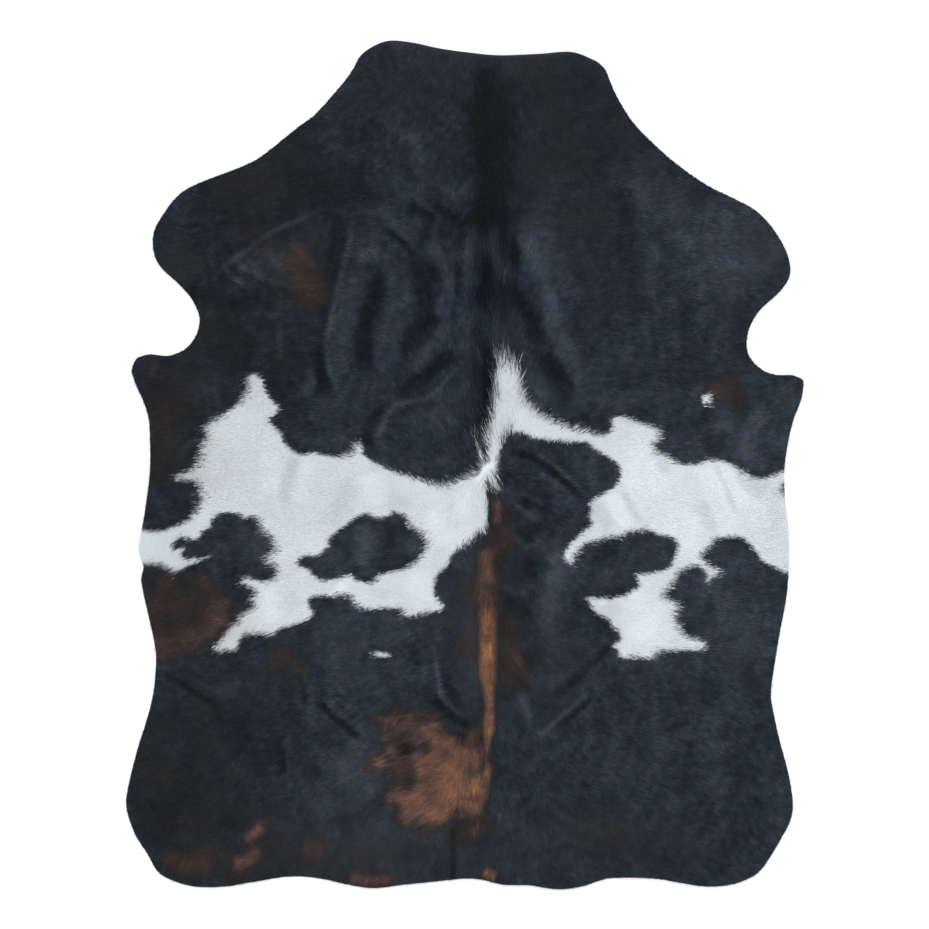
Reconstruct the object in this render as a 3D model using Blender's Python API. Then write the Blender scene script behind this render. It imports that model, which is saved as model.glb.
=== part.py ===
"""Cowhide rug: one whole hide with its hair on, lying flat with a few soft ripples.

X runs across the hide, Y runs along the spine with the neck at +Y, and Z is up. The origin is on the
surface that the hide lies on, under the middle of its outline.
"""

import math
from collections import namedtuple

import bpy
import bmesh
from mathutils import Vector
from mathutils.geometry import delaunay_2d_cdt, intersect_point_line

# Driving sizes, in metres.
HIDE_LENGTH = 2.200  # neck edge to rump edge
SKIN = 0.0022  # tanned skin
COAT = 0.0028  # short hair lying flat on it
RUFF_RISE = 0.0035  # how much higher the longer hair stands along the spine
RIM_INSET = 0.0035  # how far the upper and lower edges stand in from the rim
RIM_HEIGHT = 0.40  # height of the rim's widest line, as a share of the thickness
RIM_STEP = 0.021  # spacing of the points along the outline
FIELD_STEP = 0.078  # spacing of the points on the flat field
FOLD_STEP = 0.040  # spacing of the points along a ripple
CLEARANCE = 0.011  # least distance between two points of the field
WELD = 1e-6  # points of the plan closer than this would count as one
SHARP_EDGE = math.radians(40)  # edges bent more than this are shaded as edges

# The tables below are in centimetres, charted on a hide of this length from the neck edge to the rump edge.
CHART_LENGTH = 220.0
CM = HIDE_LENGTH / CHART_LENGTH

# The outline, going round from the neck past the hide's left side. A row for each section: (x, y).
OUTLINE = {
    "neck, left": [(-14.1, 109.5), (-20.6, 109.7), (-26.6, 106.4), (-29.7, 101.2), (-38.0, 91.4),
                   (-42.7, 87.8)],
    "left shoulder": [(-47.9, 83.6), (-53.6, 79.2), (-59.5, 76.5), (-68.6, 73.0), (-73.8, 70.1),
                      (-77.7, 65.4), (-80.5, 60.3), (-80.5, 54.8)],
    "left foreleg": [(-78.5, 50.9), (-74.3, 47.0), (-70.7, 42.9), (-68.7, 38.0), (-69.7, 33.3),
                     (-72.8, 29.6), (-77.2, 28.2), (-81.6, 28.6), (-85.2, 27.3), (-86.3, 24.5),
                     (-85.2, 20.8)],
    "left flank": [(-83.4, 16.7), (-81.8, 11.5), (-81.5, 5.0), (-81.6, -2.5), (-82.7, -11.3),
                   (-83.3, -15.0), (-84.4, -22.0), (-83.2, -26.6), (-83.8, -29.5), (-82.8, -35.3),
                   (-81.6, -40.4), (-80.0, -48.9), (-80.3, -56.5)],
    "left hind leg": [(-81.2, -61.9), (-82.9, -67.9), (-84.6, -73.3), (-86.5, -80.6), (-87.7, -87.1),
                      (-87.1, -91.2), (-85.2, -96.3), (-82.4, -100.6), (-79.5, -105.5), (-75.6, -107.8),
                      (-69.9, -109.4)],
    "rump": [(-62.1, -109.4), (-54.3, -108.1), (-45.3, -106.8), (-37.5, -107.3), (-30.2, -108.9),
             (-23.5, -109.8), (-15.4, -108.9), (-6.4, -108.0), (0.6, -107.3), (5.3, -107.8),
             (10.0, -108.9), (17.0, -109.1), (24.0, -110.1), (30.7, -109.3), (36.7, -107.4),
             (44.2, -107.1), (51.2, -107.6), (58.5, -108.9)],
    "right hind leg": [(64.7, -109.4), (70.9, -108.4), (75.9, -105.9), (78.7, -102.5), (82.1, -96.9),
                       (84.5, -92.2), (85.1, -87.6), (84.0, -80.3), (81.8, -72.0), (80.3, -65.3)],
    "right flank": [(79.4, -59.6), (80.2, -52.8), (81.8, -43.0), (83.5, -33.9), (84.1, -24.8),
                    (83.9, -17.6), (83.0, -8.7), (82.9, -1.5), (83.9, 6.0), (85.5, 12.3)],
    "right foreleg": [(87.3, 16.9), (87.7, 21.9), (85.2, 23.1), (79.8, 23.4), (75.9, 25.5),
                      (73.4, 29.1), (73.5, 34.3), (76.4, 39.8), (81.3, 44.4), (84.2, 48.6)],
    "right shoulder": [(84.0, 53.5), (81.1, 59.5), (76.1, 65.3), (70.2, 68.8), (63.2, 72.2),
                       (55.9, 77.2), (49.4, 82.8)],
    "neck, right": [(43.4, 89.1), (39.3, 95.8), (36.2, 102.8), (32.6, 105.3), (27.4, 107.0),
                    (19.6, 106.5), (9.2, 106.1), (1.4, 106.8), (-6.4, 107.9)],
}

# The ripples that the hide lies in. Each follows its line and dies out at both ends.
Fold = namedtuple("Fold", "name half_width height line")
FOLDS = [
    Fold("left shoulder, outer ripple", 4.2, 1.0,
         [(-28.5, 67.0), (-30.7, 54.3), (-33.1, 42.6), (-34.1, 30.9), (-34.0, 16.0)]),
    Fold("left shoulder, middle ripple", 4.0, 0.9,
         [(-20.4, 57.0), (-17.3, 45.7), (-19.3, 37.4), (-21.4, 28.4), (-20.9, 18.0)]),
    Fold("left shoulder, inner ripple", 3.6, 0.8,
         [(-8.6, 62.0), (-7.1, 51.7), (-4.8, 43.1), (-5.6, 35.4), (-9.5, 29.1), (-12.0, 21.0)]),
    Fold("left shoulder, lower arc", 3.4, 0.7,
         [(-1.0, 25.5), (-7.9, 18.8), (-15.7, 16.2), (-21.4, 12.0), (-24.5, 4.0)]),
    Fold("left shoulder, long crease", 3.2, 0.6,
         [(-65.5, 50.5), (-55.6, 56.6), (-46.3, 62.3), (-37.0, 68.0)]),
    Fold("left shoulder, cross crease", 2.8, 0.5,
         [(-58.0, 49.6), (-50.5, 47.6), (-42.7, 46.2), (-38.5, 45.6)]),
    Fold("right shoulder ripple", 3.8, 0.8,
         [(19.6, 50.0), (21.7, 38.0), (25.3, 29.6), (30.0, 22.4), (34.0, 13.5)]),
    Fold("right shoulder ridge", 3.4, 0.5,
         [(36.6, 76.0), (38.0, 64.7), (37.4, 53.0)]),
    Fold("loin tuck", 2.6, 0.8,
         [(17.5, 6.5), (25.3, 1.6), (30.5, -4.1), (35.6, -10.0)]),
    Fold("left flank ripple", 4.2, 0.6,
         [(-45.0, 2.5), (-46.8, -7.2), (-48.3, -15.5)]),
    Fold("right flank ripple", 4.2, 0.6,
         [(57.0, 2.0), (64.2, -8.2), (71.0, -18.5)]),
    Fold("left haunch ripple", 3.6, 0.7,
         [(-74.5, -53.3), (-68.7, -56.6), (-61.9, -61.7), (-57.0, -69.0)]),
    Fold("left thigh ripple", 3.4, 0.8,
         [(-42.0, -53.0), (-34.9, -63.2), (-29.2, -69.4), (-22.5, -76.0)]),
    Fold("rump tuck", 2.8, 0.9,
         [(-7.6, -52.5), (-4.8, -61.1), (-0.6, -64.8), (5.0, -67.6)]),
    Fold("right thigh ripple", 3.2, 0.7,
         [(36.0, -54.0), (29.4, -62.2), (24.3, -68.1), (18.0, -73.0)]),
    Fold("right haunch ripple", 3.6, 0.6,
         [(72.0, -54.0), (66.8, -62.7), (61.5, -72.0)]),
]
ACROSS_FOLD = (-1.0, -0.5, 0.0, 0.5, 1.0)  # places of the rows of points, as shares of the half width
FOLD_REACH = 1.15  # the flat field's points stay this many half widths away from a ripple's line
FOLD_FADE = 0.30  # share of a ripple's length over which each end dies out

# The longer hair along the spine, from the crest of the neck to the tail: (x, y).
SPINE = [(5.0, 62.0), (6.0, 40.0), (8.5, 20.0), (6.0, 0.0), (6.5, -30.0), (6.8, -60.0), (6.0, -98.0)]
RUFF_HALF_WIDTH = 4.5  # in the tables' centimetres
RUFF_FADE = 0.15  # share of the spine's length over which the ruff dies out at each end
ACROSS_RUFF = (-0.9, 0.0, 0.9)


def spline_through(points, step, closed):
    """Points about a step apart along a smooth curve through the given ones."""
    count = len(points)
    spans = count if closed else count - 1
    curve = []
    for i in range(spans):
        b, c = points[i], points[(i + 1) % count]
        a = points[i - 1] if closed or i else b - (c - b)
        d = points[(i + 2) % count] if closed or i + 2 < count else c + (c - b)
        pieces = max(1, round((c - b).length / step))
        for k in range(pieces):
            t = k / pieces
            curve.append(0.5 * (2 * b + (c - a) * t + (2 * a - 5 * b + 4 * c - d) * t ** 2
                                + (3 * b - a - 3 * c + d) * t ** 3))
    return curve if closed else curve + [points[-1]]


def metres(places):
    return [Vector(place) * CM for place in places]


def across(line, i):
    """The level direction at right angles to a line, at its point i."""
    along = (line[min(i + 1, len(line) - 1)] - line[max(i - 1, 0)]).normalized()
    return Vector((along.y, -along.x))


def nearest_on(point, line):
    """Distance from a point to a line of points, and how far along the line that is, from 0 to 1."""
    best, where = math.inf, 0.0
    for i in range(len(line) - 1):
        _, t = intersect_point_line(point, line[i], line[i + 1])
        t = min(max(t, 0.0), 1.0)
        gap = (point - line[i].lerp(line[i + 1], t)).length
        if gap < best:
            best, where = gap, (i + t) / (len(line) - 1)
    return best, where


def bump(share):
    """A soft hump: 1 in the middle and 0 where the share reaches 1."""
    return 0.5 + 0.5 * math.cos(math.pi * min(abs(share), 1.0))


def height_of(point, line, half_width, height, fade):
    """Height of a ripple or ruff over a point. It dies out to both sides and towards its ends."""
    gap, where = nearest_on(point, line)
    end = min(where, 1.0 - where) / fade
    return height * bump(gap / half_width) * (1.0 - bump(end))


def underside(point, folds):
    """Height of the skin's underside over the floor."""
    return sum(height_of(point, line, f.half_width * CM, f.height * CM, FOLD_FADE) for f, line in folds)


def thickness(point, spine):
    """Skin and coat together."""
    ruff = height_of(point, spine, RUFF_HALF_WIDTH * CM, RUFF_RISE, RUFF_FADE)
    return SKIN + COAT + ruff


def inside(point, ring):
    """Whether a point lies inside a closed ring of points."""
    odd = False
    for a, b in zip(ring, ring[1:] + ring[:1]):
        if (a.y > point.y) != (b.y > point.y):
            if point.x < a.x + (point.y - a.y) / (b.y - a.y) * (b.x - a.x):
                odd = not odd
    return odd


def inset(ring, distance):
    """The ring moved inwards. It runs anticlockwise, so the inside is on its left."""
    moved = []
    for i, point in enumerate(ring):
        along = (ring[(i + 1) % len(ring)] - ring[i - 1]).normalized()
        moved.append(point + Vector((-along.y, along.x)) * distance)
    return moved


def fold_points(line, half_width, shares):
    """Rows of points along a ripple: its crest, its flanks and its feet."""
    for i, point in enumerate(line):
        side = across(line, i)
        for share in shares:
            yield point + side * share * half_width


def field_points(ring, folds):
    """A loose triangular net of points over the flat parts of the hide."""
    xs, ys = [p.x for p in ring], [p.y for p in ring]
    row_step = FIELD_STEP * math.sqrt(3) / 2
    for row in range(int((max(ys) - min(ys)) / row_step) + 1):
        shift = FIELD_STEP / 2 * (row % 2)
        for column in range(int((max(xs) - min(xs)) / FIELD_STEP) + 1):
            point = Vector((min(xs) + shift + column * FIELD_STEP, min(ys) + row * row_step))
            if all(nearest_on(point, line)[0] > FOLD_REACH * f.half_width * CM for f, line in folds):
                yield point


def plan_points(ring, folds, spine):
    """All the points inside the ring, with those that would crowd another one left out."""
    chosen = []
    closed = ring + ring[:1]
    for f, line in folds:
        chosen += fold_points(line, f.half_width * CM, ACROSS_FOLD)
    chosen += fold_points(spine, RUFF_HALF_WIDTH * CM, ACROSS_RUFF)
    chosen += field_points(ring, folds)
    kept = []
    for point in chosen:
        if inside(point, ring) and nearest_on(point, closed)[0] > CLEARANCE:
            if all((point - other).length > CLEARANCE for other in kept):
                kept.append(point)
    return kept


def hide_mesh():
    """The closed solid: an upper and a lower skin on one plan, joined round a blunt rim."""
    places = [place for section in OUTLINE.values() for place in section]
    outline = spline_through(metres(places), RIM_STEP, closed=True)
    if sum(a.cross(b) for a, b in zip(outline, outline[1:] + outline[:1])) < 0:
        outline.reverse()
    folds = [(f, spline_through(metres(f.line), FOLD_STEP, closed=False)) for f in FOLDS]
    spine = spline_through(metres(SPINE), FOLD_STEP, closed=False)
    edge = inset(outline, RIM_INSET)
    points = edge + plan_points(edge, folds, spine)
    loop = list(range(len(edge)))
    triangles_inside_loop = 1
    plan, _, triangles, _, _, _ = delaunay_2d_cdt(points, [], [loop], triangles_inside_loop, WELD)
    if len(plan) != len(points):
        raise ValueError("two points of the plan have merged")

    bm = bmesh.new()
    lower, upper = [], []
    for point in plan:
        foot = underside(point, folds)
        lower.append(bm.verts.new((point.x, point.y, foot)))
        upper.append(bm.verts.new((point.x, point.y, foot + thickness(point, spine))))
    rim = []
    for point in outline:
        height = underside(point, folds) + RIM_HEIGHT * thickness(point, spine)
        rim.append(bm.verts.new((point.x, point.y, height)))
    for a, b, c in triangles:
        bm.faces.new((upper[a], upper[b], upper[c]))
        bm.faces.new((lower[c], lower[b], lower[a]))
    for i in loop:
        j = (i + 1) % len(loop)
        bm.faces.new((rim[i], rim[j], upper[j], upper[i]))
        bm.faces.new((lower[i], lower[j], rim[j], rim[i]))
    bmesh.ops.triangulate(bm, faces=[face for face in bm.faces if len(face.verts) > 3])
    bmesh.ops.recalc_face_normals(bm, faces=bm.faces)
    mesh = bpy.data.meshes.new("hide")
    bm.to_mesh(mesh)
    bm.free()
    return mesh


def finish_of(name, colour, roughness):
    material = bpy.data.materials.new(name)
    material.use_nodes = True
    shader = material.node_tree.nodes["Principled BSDF"]
    shader.inputs["Base Color"].default_value = (*colour, 1.0)
    shader.inputs["Roughness"].default_value = roughness
    shader.inputs["Metallic"].default_value = 0.0
    return material


def build():
    for old in list(bpy.data.objects):
        bpy.data.objects.remove(old, do_unlink=True)
    hide = bpy.data.objects.new("hide", hide_mesh())
    bpy.context.scene.collection.objects.link(hide)
    hide.data.materials.append(finish_of("cowhide", colour=(0.030, 0.033, 0.038), roughness=0.55))
    hide.data.shade_smooth()
    hide.data.set_sharp_from_angle(angle=SHARP_EDGE)
    print("ripples:", "; ".join(fold.name for fold in FOLDS))
    print("triangles:", len(hide.data.polygons), "size:", [round(v, 4) for v in hide.dimensions])


build()
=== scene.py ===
# %% [markdown]
# # A cowhide rug
#
# A cowhide rug is one whole tanned hide with its hair left on. The leather is about 2 mm thick, suede on
# the side that meets the floor, and the hair lies nearly flat on the other side. Nothing is sewn to it.
#
# What makes it look real is not its outline but its coat: thousands of short locks that lie one over the
# other, all combed by the animal's own growth, white over slate black, with soft light where the hide
# ripples. So this lesson builds one thin leather sheet and then grows the coat on it as real locks of hair.

import math
from collections import namedtuple

import bpy
import bmesh
import numpy as np
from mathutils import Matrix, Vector
from mathutils.bvhtree import BVHTree
from mathutils.geometry import delaunay_2d_cdt


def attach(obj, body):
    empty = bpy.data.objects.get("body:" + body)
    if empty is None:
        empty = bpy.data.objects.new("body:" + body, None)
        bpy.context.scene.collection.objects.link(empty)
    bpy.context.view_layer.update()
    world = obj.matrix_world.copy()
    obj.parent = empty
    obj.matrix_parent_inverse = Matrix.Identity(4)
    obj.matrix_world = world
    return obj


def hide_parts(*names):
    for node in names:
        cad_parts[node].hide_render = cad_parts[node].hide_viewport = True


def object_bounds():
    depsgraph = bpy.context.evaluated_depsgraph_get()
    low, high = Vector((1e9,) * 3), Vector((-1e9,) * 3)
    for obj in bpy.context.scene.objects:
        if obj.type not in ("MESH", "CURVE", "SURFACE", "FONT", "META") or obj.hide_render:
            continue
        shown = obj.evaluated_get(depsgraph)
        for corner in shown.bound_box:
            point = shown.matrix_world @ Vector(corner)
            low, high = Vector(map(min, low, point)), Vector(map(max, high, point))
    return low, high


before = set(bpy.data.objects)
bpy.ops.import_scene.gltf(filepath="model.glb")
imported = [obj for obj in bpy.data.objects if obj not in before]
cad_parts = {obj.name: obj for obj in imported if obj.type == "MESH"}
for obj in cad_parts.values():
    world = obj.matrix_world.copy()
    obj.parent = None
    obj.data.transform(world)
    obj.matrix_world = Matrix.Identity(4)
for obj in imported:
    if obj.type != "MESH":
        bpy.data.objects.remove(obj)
solid_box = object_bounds()
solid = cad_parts["hide"]
print("solid hide:", [round(v, 3) for corner in solid_box for v in corner])

# %% [markdown]
# ## The outline
#
# The solid already has the outline of the hide, cut around its legs and neck. The sheet of leather follows
# it, so it is read from the solid and not drawn twice. The widest line round the solid is where one face
# looks up and its neighbour looks down. Those edges are chained into a ring, and a smooth curve through the
# ring gives the leather an edge without corners.

# %% Smooth lines and the cut edge
CUT_STEP = 0.006  # spacing of the points along the cut edge, in metres
SAME_POINT = 1e-6  # points of the solid that are nearer to each other than this are one point


def smooth_line(points, step, closed=False):
    """Points about a step apart along a smooth curve (a Catmull-Rom spline) through the given ones."""
    p = np.asarray(points, float)
    if closed:
        p = np.vstack([p[-1:], p, p[:2]])
    else:
        p = np.vstack([2 * p[:1] - p[1:2], p, 2 * p[-1:] - p[-2:-1]])
    curve = []
    for a, b, c, d in zip(p, p[1:], p[2:], p[3:]):
        pieces = max(1, round(float(np.linalg.norm(c - b)) / step))
        for t in np.arange(pieces) / pieces:
            curve.append(0.5 * (2 * b + (c - a) * t + (2 * a - 5 * b + 4 * c - d) * t ** 2
                                + (3 * b - a - 3 * c + d) * t ** 3))
    if not closed:
        curve.append(p[-2])
    return np.array(curve)


def welded(node):
    """The solid's mesh as a bmesh, with the copies of a point that the file format makes joined again."""
    bm = bmesh.new()
    bm.from_mesh(node.data)
    bmesh.ops.remove_doubles(bm, verts=bm.verts, dist=SAME_POINT)
    bm.normal_update()
    return bm


def widest_ring(bm):
    """The ring of points where the solid's faces turn from looking up to looking down, anticlockwise."""
    turning = [e for e in bm.edges if e.link_faces[0].normal.z * e.link_faces[1].normal.z < 0]
    beside = {}
    for edge in turning:
        a, b = edge.verts
        beside.setdefault(a, []).append(b)
        beside.setdefault(b, []).append(a)
    start = turning[0].verts[0]
    ring, last, here = [start], None, start
    while True:
        step = [v for v in beside[here] if v is not last][0]
        if step is start:
            break
        ring.append(step)
        last, here = here, step
    ring = np.array([v.co[:2] for v in ring])
    area = 0.5 * np.sum(ring[:, 0] * np.roll(ring[:, 1], -1) - ring[:, 1] * np.roll(ring[:, 0], -1))
    return ring if area > 0 else ring[::-1]


solid_mesh = welded(solid)
outline = smooth_line(widest_ring(solid_mesh), CUT_STEP, closed=True)
print("cut edge:", len(outline), "points")

# %% [markdown]
# ## A map of the hide
#
# Height, colour and the lie of the hair all change from place to place, and thousands of locks will ask for
# them. So each is kept as a map: a square net of numbers over the hide, four millimetres apart, which can
# be drawn on with soft strokes, blurred, and read at any place. All random numbers come from named seeds,
# so the hide is the same every time.

# %% Nets of numbers
CELL = 0.004  # metres between the map's places
MARGIN = 0.06  # how far the map goes past the hide
STOP_SHORT = 1.001  # reading stops this many places before the map's end, where it has no next one

low, high = solid_box
map_x = np.arange(low.x - MARGIN, high.x + MARGIN, CELL)
map_y = np.arange(low.y - MARGIN, high.y + MARGIN, CELL)
across_map, along_map = np.meshgrid(map_x, map_y)
SHAPE = across_map.shape


def read(field, x, y):
    """The map's value at any place, between its four nearest numbers."""
    u = np.clip((x - map_x[0]) / CELL, 0, SHAPE[1] - STOP_SHORT)
    v = np.clip((y - map_y[0]) / CELL, 0, SHAPE[0] - STOP_SHORT)
    i, j = u.astype(int), v.astype(int)
    u, v = u - i, v - j
    return ((field[j, i] * (1 - u) + field[j, i + 1] * u) * (1 - v)
            + (field[j + 1, i] * (1 - u) + field[j + 1, i + 1] * u) * v)


def blur(field, size):
    """The map smoothed over about that many metres."""
    up = np.fft.fftfreq(SHAPE[0], CELL)[:, None]
    over = np.fft.rfftfreq(SHAPE[1], CELL)[None, :]
    keep = np.exp(-2.0 * (math.pi * size) ** 2 * (up ** 2 + over ** 2))
    return np.fft.irfft2(np.fft.rfft2(field) * keep, SHAPE)


def clouds(size, seed):
    """Soft random patches of about that size, with a spread of one."""
    field = blur(np.random.default_rng(seed).normal(size=SHAPE), size)
    return field / field.std()


def smooth_step(value):
    """From 0 to 1 with soft ends."""
    value = np.clip(value, 0.0, 1.0)
    return value * value * (3.0 - 2.0 * value)


def bump(share):
    """A soft hump: 1 in the middle and 0 where the share reaches 1."""
    return 0.5 + 0.5 * np.cos(math.pi * np.minimum(np.abs(share), 1.0))


print("map:", SHAPE[1], "by", SHAPE[0], "places")

# %% [markdown]
# Much depends on how far a place is from a line: the cut edge, a patch's border, a crease. One helper
# measures that for the whole map, and another tells inside from outside. Together they give a distance
# that is above zero inside a ring and below zero outside.

# %% Distances on the map
EDGE_REACH = 0.12  # metres from the cut edge over which its distance is worked out
TINY = 1e-12  # keeps a division from meeting zero


def near_line(line, reach, closed=False):
    """Distance of each place from a line, up to a reach, and how far along the line it is, from 0 to 1."""
    line = np.vstack([line, line[:1]]) if closed else np.asarray(line)
    gap = np.full(SHAPE, reach)
    where = np.zeros(SHAPE)
    for k, (a, b) in enumerate(zip(line, line[1:])):
        x0, x1 = np.searchsorted(map_x, [min(a[0], b[0]) - reach, max(a[0], b[0]) + reach])
        y0, y1 = np.searchsorted(map_y, [min(a[1], b[1]) - reach, max(a[1], b[1]) + reach])
        if x0 >= x1 or y0 >= y1:
            continue
        px, py = across_map[y0:y1, x0:x1], along_map[y0:y1, x0:x1]
        along = b - a
        t = ((px - a[0]) * along[0] + (py - a[1]) * along[1]) / max(along @ along, TINY)
        t = np.clip(t, 0, 1)
        d = np.hypot(px - a[0] - t * along[0], py - a[1] - t * along[1])
        closer = d < gap[y0:y1, x0:x1]
        gap[y0:y1, x0:x1][closer] = d[closer]
        where[y0:y1, x0:x1][closer] = (k + t[closer]) / (len(line) - 1)
    return gap, where


def inside_ring(ring):
    """Whether each place of the map lies inside a ring of points."""
    odd = np.zeros(SHAPE, bool)
    for a, b in zip(ring, np.roll(ring, -1, axis=0)):
        if a[1] == b[1]:
            continue
        rows = (a[1] > map_y) != (b[1] > map_y)
        cross = a[0] + (map_y[rows] - a[1]) / (b[1] - a[1]) * (b[0] - a[0])
        odd[rows] ^= map_x[None, :] < cross[:, None]
    return odd


def inward(ring, reach):
    """Distance from a ring of points: above zero inside it, below zero outside."""
    gap, _ = near_line(ring, reach, closed=True)
    return np.where(inside_ring(ring), gap, -gap)


from_edge = inward(outline, EDGE_REACH)
on_hide = from_edge > 0
print("hide area:", round(on_hide.sum() * CELL ** 2, 3), "square metres")

# %% [markdown]
# ## Charts
#
# The patches, ripples and shadings of this hide are charted in centimetres from the middle of the hide,
# as a maker would mark them on a pattern. A ring of points goes round each patch. A chart of strokes
# goes by the parts of the hide: each row has a name, an amount, a half width and a line, and the stroke
# dies out to its sides and at its ends.

# %% Strokes
CHART_LENGTH = 2.20  # the charts are drawn for a hide of this length, in metres
CM = 0.01 * (high.y - low.y) / CHART_LENGTH  # one centimetre of the charts

Stroke = namedtuple("Stroke", "name amount half_width line")
LINE_STEP = 0.008  # metres between the points of a smooth charted line
SOFT_SIDES = 1.8  # a stroke is gone at this many half widths from its line
STEEPNESS = 1.1  # share of the half width over which a steep side falls off
SHORT_END = 0.22  # share of a stroke's length over which each end dies out
BLUNT_END = 0.25  # share of that fading that is left off at the very end


def strokes_of(chart):
    """All strokes of a chart, whatever part of the hide they lie on."""
    return [Stroke(*row) for rows in chart.values() for row in rows]


def charted(places):
    return np.array(places, float) * CM


def round_side(gap, half_width):
    """A soft hump that is gone at almost twice the half width."""
    return bump(gap / (SOFT_SIDES * half_width))


def steep_side(gap, half_width):
    """A band that is even in its middle and falls off quickly at its sides."""
    return smooth_step(0.5 + (half_width - gap) / (STEEPNESS * half_width))


def draw(chart, weigh=lambda stroke: stroke.amount, side=round_side):
    """A map with all the chart's strokes on it, each weighed by its own amount."""
    field = np.zeros(SHAPE)
    for stroke in strokes_of(chart):
        line = smooth_line(charted(stroke.line), LINE_STEP)
        reach = stroke.half_width * CM * SOFT_SIDES
        gap, where = near_line(line, reach)
        ends = smooth_step(np.minimum(where, 1 - where) / SHORT_END + BLUNT_END)
        field += weigh(stroke) * side(gap, stroke.half_width * CM) * ends
    return field


print("a centimetre of the charts:", round(CM * 100, 4), "cm")

# %% [markdown]
# ## Painted light and shade of the coat
#
# On the real hide these bands are where it ripples or creases: the hair on a crest opens and catches the
# light, and in a hollow it closes and goes dark. They could be left to the ripples' height alone, but hair
# this flat hides small heights. So each stroke does both: it lifts or sinks the leather a little, and it
# paints the hair on it lighter or darker: a painted highlight on a crest, painted shade in a hollow.

# %% Crests and hollows from the withers to the left shoulder
# Each stroke's amount also paints the hair: a painted highlight on a crest, painted shade in a hollow.
NAP = {}
NAP["withers"] = [
    ("step", 0.3, 1, [(-4.5, 61), (4, 60.5), (13, 62)]),
    ("shade", -0.6, 1, [(-8, 68), (-4, 64.5), (0.5, 62.5), (4, 62)]),
    ("left streak", 0.7, 1.3, [(1.5, 59.5), (1, 52.5), (-0.5, 46.5)]),
    ("middle streak", 0.9, 1.3, [(8, 60), (7.5, 55), (8.5, 51), (11, 46.5)]),
    ("right shade", -0.7, 1.3, [(13, 56), (13, 49)]),
    ("left shade", -0.9, 1.6, [(6, 52.5), (5.5, 46.5), (4.5, 42), (5.5, 38)]),
    ("right hollow", -0.8, 2.3, [(13, 45), (15.5, 40), (18, 35), (19.5, 31)]),
]
NAP["left shoulder"] = [
    ("crest's edge", 0.8, 0.7,
     [(-29, 65), (-29.5, 59.5), (-30.5, 54.5), (-32, 49), (-33.5, 43), (-35, 36), (-36, 31),
      (-35.5, 26), (-34, 22), (-32, 17)]),
    ("outer crest", 0.5, 3.1,
     [(-28, 62), (-28.5, 55.5), (-29, 50.5), (-30, 45), (-31, 40), (-32, 35), (-32, 29.5), (-32, 24.5),
      (-31.5, 19.5)]),
    ("crest's head", 0.5, 1.8, [(-26, 52.5), (-24, 54.5), (-22, 55)]),
    ("before the crest", -0.4, 2.1, [(-32, 62), (-33, 55.5), (-34.5, 49), (-36, 42.5), (-37, 36)]),
    ("outer hollow", -0.7, 1.6, [(-37.5, 31), (-37.5, 27), (-37, 23), (-36.5, 20), (-37.5, 17)]),
    ("second hollow", -0.85, 2.1,
     [(-22, 51), (-22.5, 46.5), (-23.5, 42.5), (-25, 38.5), (-26, 35), (-26, 31), (-26, 27.5),
      (-26, 24.5)]),
    ("middle crest", 0.5, 2.9,
     [(-20.5, 52.5), (-18.5, 48.5), (-16.5, 44), (-18, 39.5), (-19, 35.5), (-20, 31), (-19.5, 26.5),
      (-19, 22.5)]),
    ("third hollow", -0.7, 2.4,
     [(-13.5, 56), (-12, 51.5), (-11, 48), (-10.5, 44), (-10.5, 40), (-11.5, 36), (-13, 33),
      (-14, 29.5), (-15, 26)]),
    ("third hollow's corner", -0.6, 1.3, [(-9, 52.5), (-7.5, 49.5), (-6, 47)]),
    ("third hollow's foot", -0.6, 1.3, [(-9.5, 35), (-7, 38)]),
    ("upper hollow", -0.6, 1.3, [(-9.5, 65.5), (-9.5, 61.5), (-10.5, 56.5)]),
    ("inner crest", 0.6, 1.8,
     [(-8, 63), (-8.5, 57.5), (-7, 53), (-4.5, 48.5), (-4.5, 44), (-5.5, 39.5), (-5, 35.5), (-7, 32),
      (-9.5, 29.5), (-12, 27), (-13, 24)]),
    ("beside the inner crest", -0.5, 1, [(-1.5, 51.5), (-1, 47.5), (-2, 43)]),
    ("top arc", 0.5, 1.6, [(-23, 66.5), (-20, 64), (-17.5, 61.5), (-14, 59)]),
    ("below the top arc", -0.7, 0.8, [(-20.5, 62), (-18.5, 59.5), (-16, 57.5), (-13.5, 55)]),
    ("top shade", -0.7, 0.8, [(-14, 68.5), (-11.5, 66), (-8, 64)]),
    ("under the arc", -0.8, 1.6,
     [(-2, 29), (-5.5, 27), (-8.5, 24), (-12, 21.5), (-15.5, 19.5), (-18.5, 17)]),
    ("down to the white", -0.8, 1.3,
     [(-20.5, 15.5), (-22.5, 13.5), (-24.5, 9.5), (-25, 6.5), (-25.5, 3.5)]),
    ("fine crest", 0.8, 0.6,
     [(-2, 25), (-4.5, 22.5), (-6.5, 20), (-9.5, 17.5), (-13, 16.5), (-16, 16), (-18.5, 15),
      (-20, 12.5), (-21.5, 9), (-23, 5.5)]),
    ("mound", 0.3, 3.6, [(-14.5, 13), (-8.5, 13), (-3, 10)]),
    ("mound's shade", -0.5, 1, [(-10.5, 14.5), (-7, 16)]),
    ("spine side", 0.3, 2.3, [(0, 42.5), (-0.5, 35), (1, 27)]),
]
print("crests and hollows so far:", len(strokes_of(NAP)))

# %% [markdown]
# The right shoulder is calmer, and the left foreleg is creased like a fan. On the loin the hide is tucked
# beside the spine: a narrow crest with a deep hollow along it.

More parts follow.
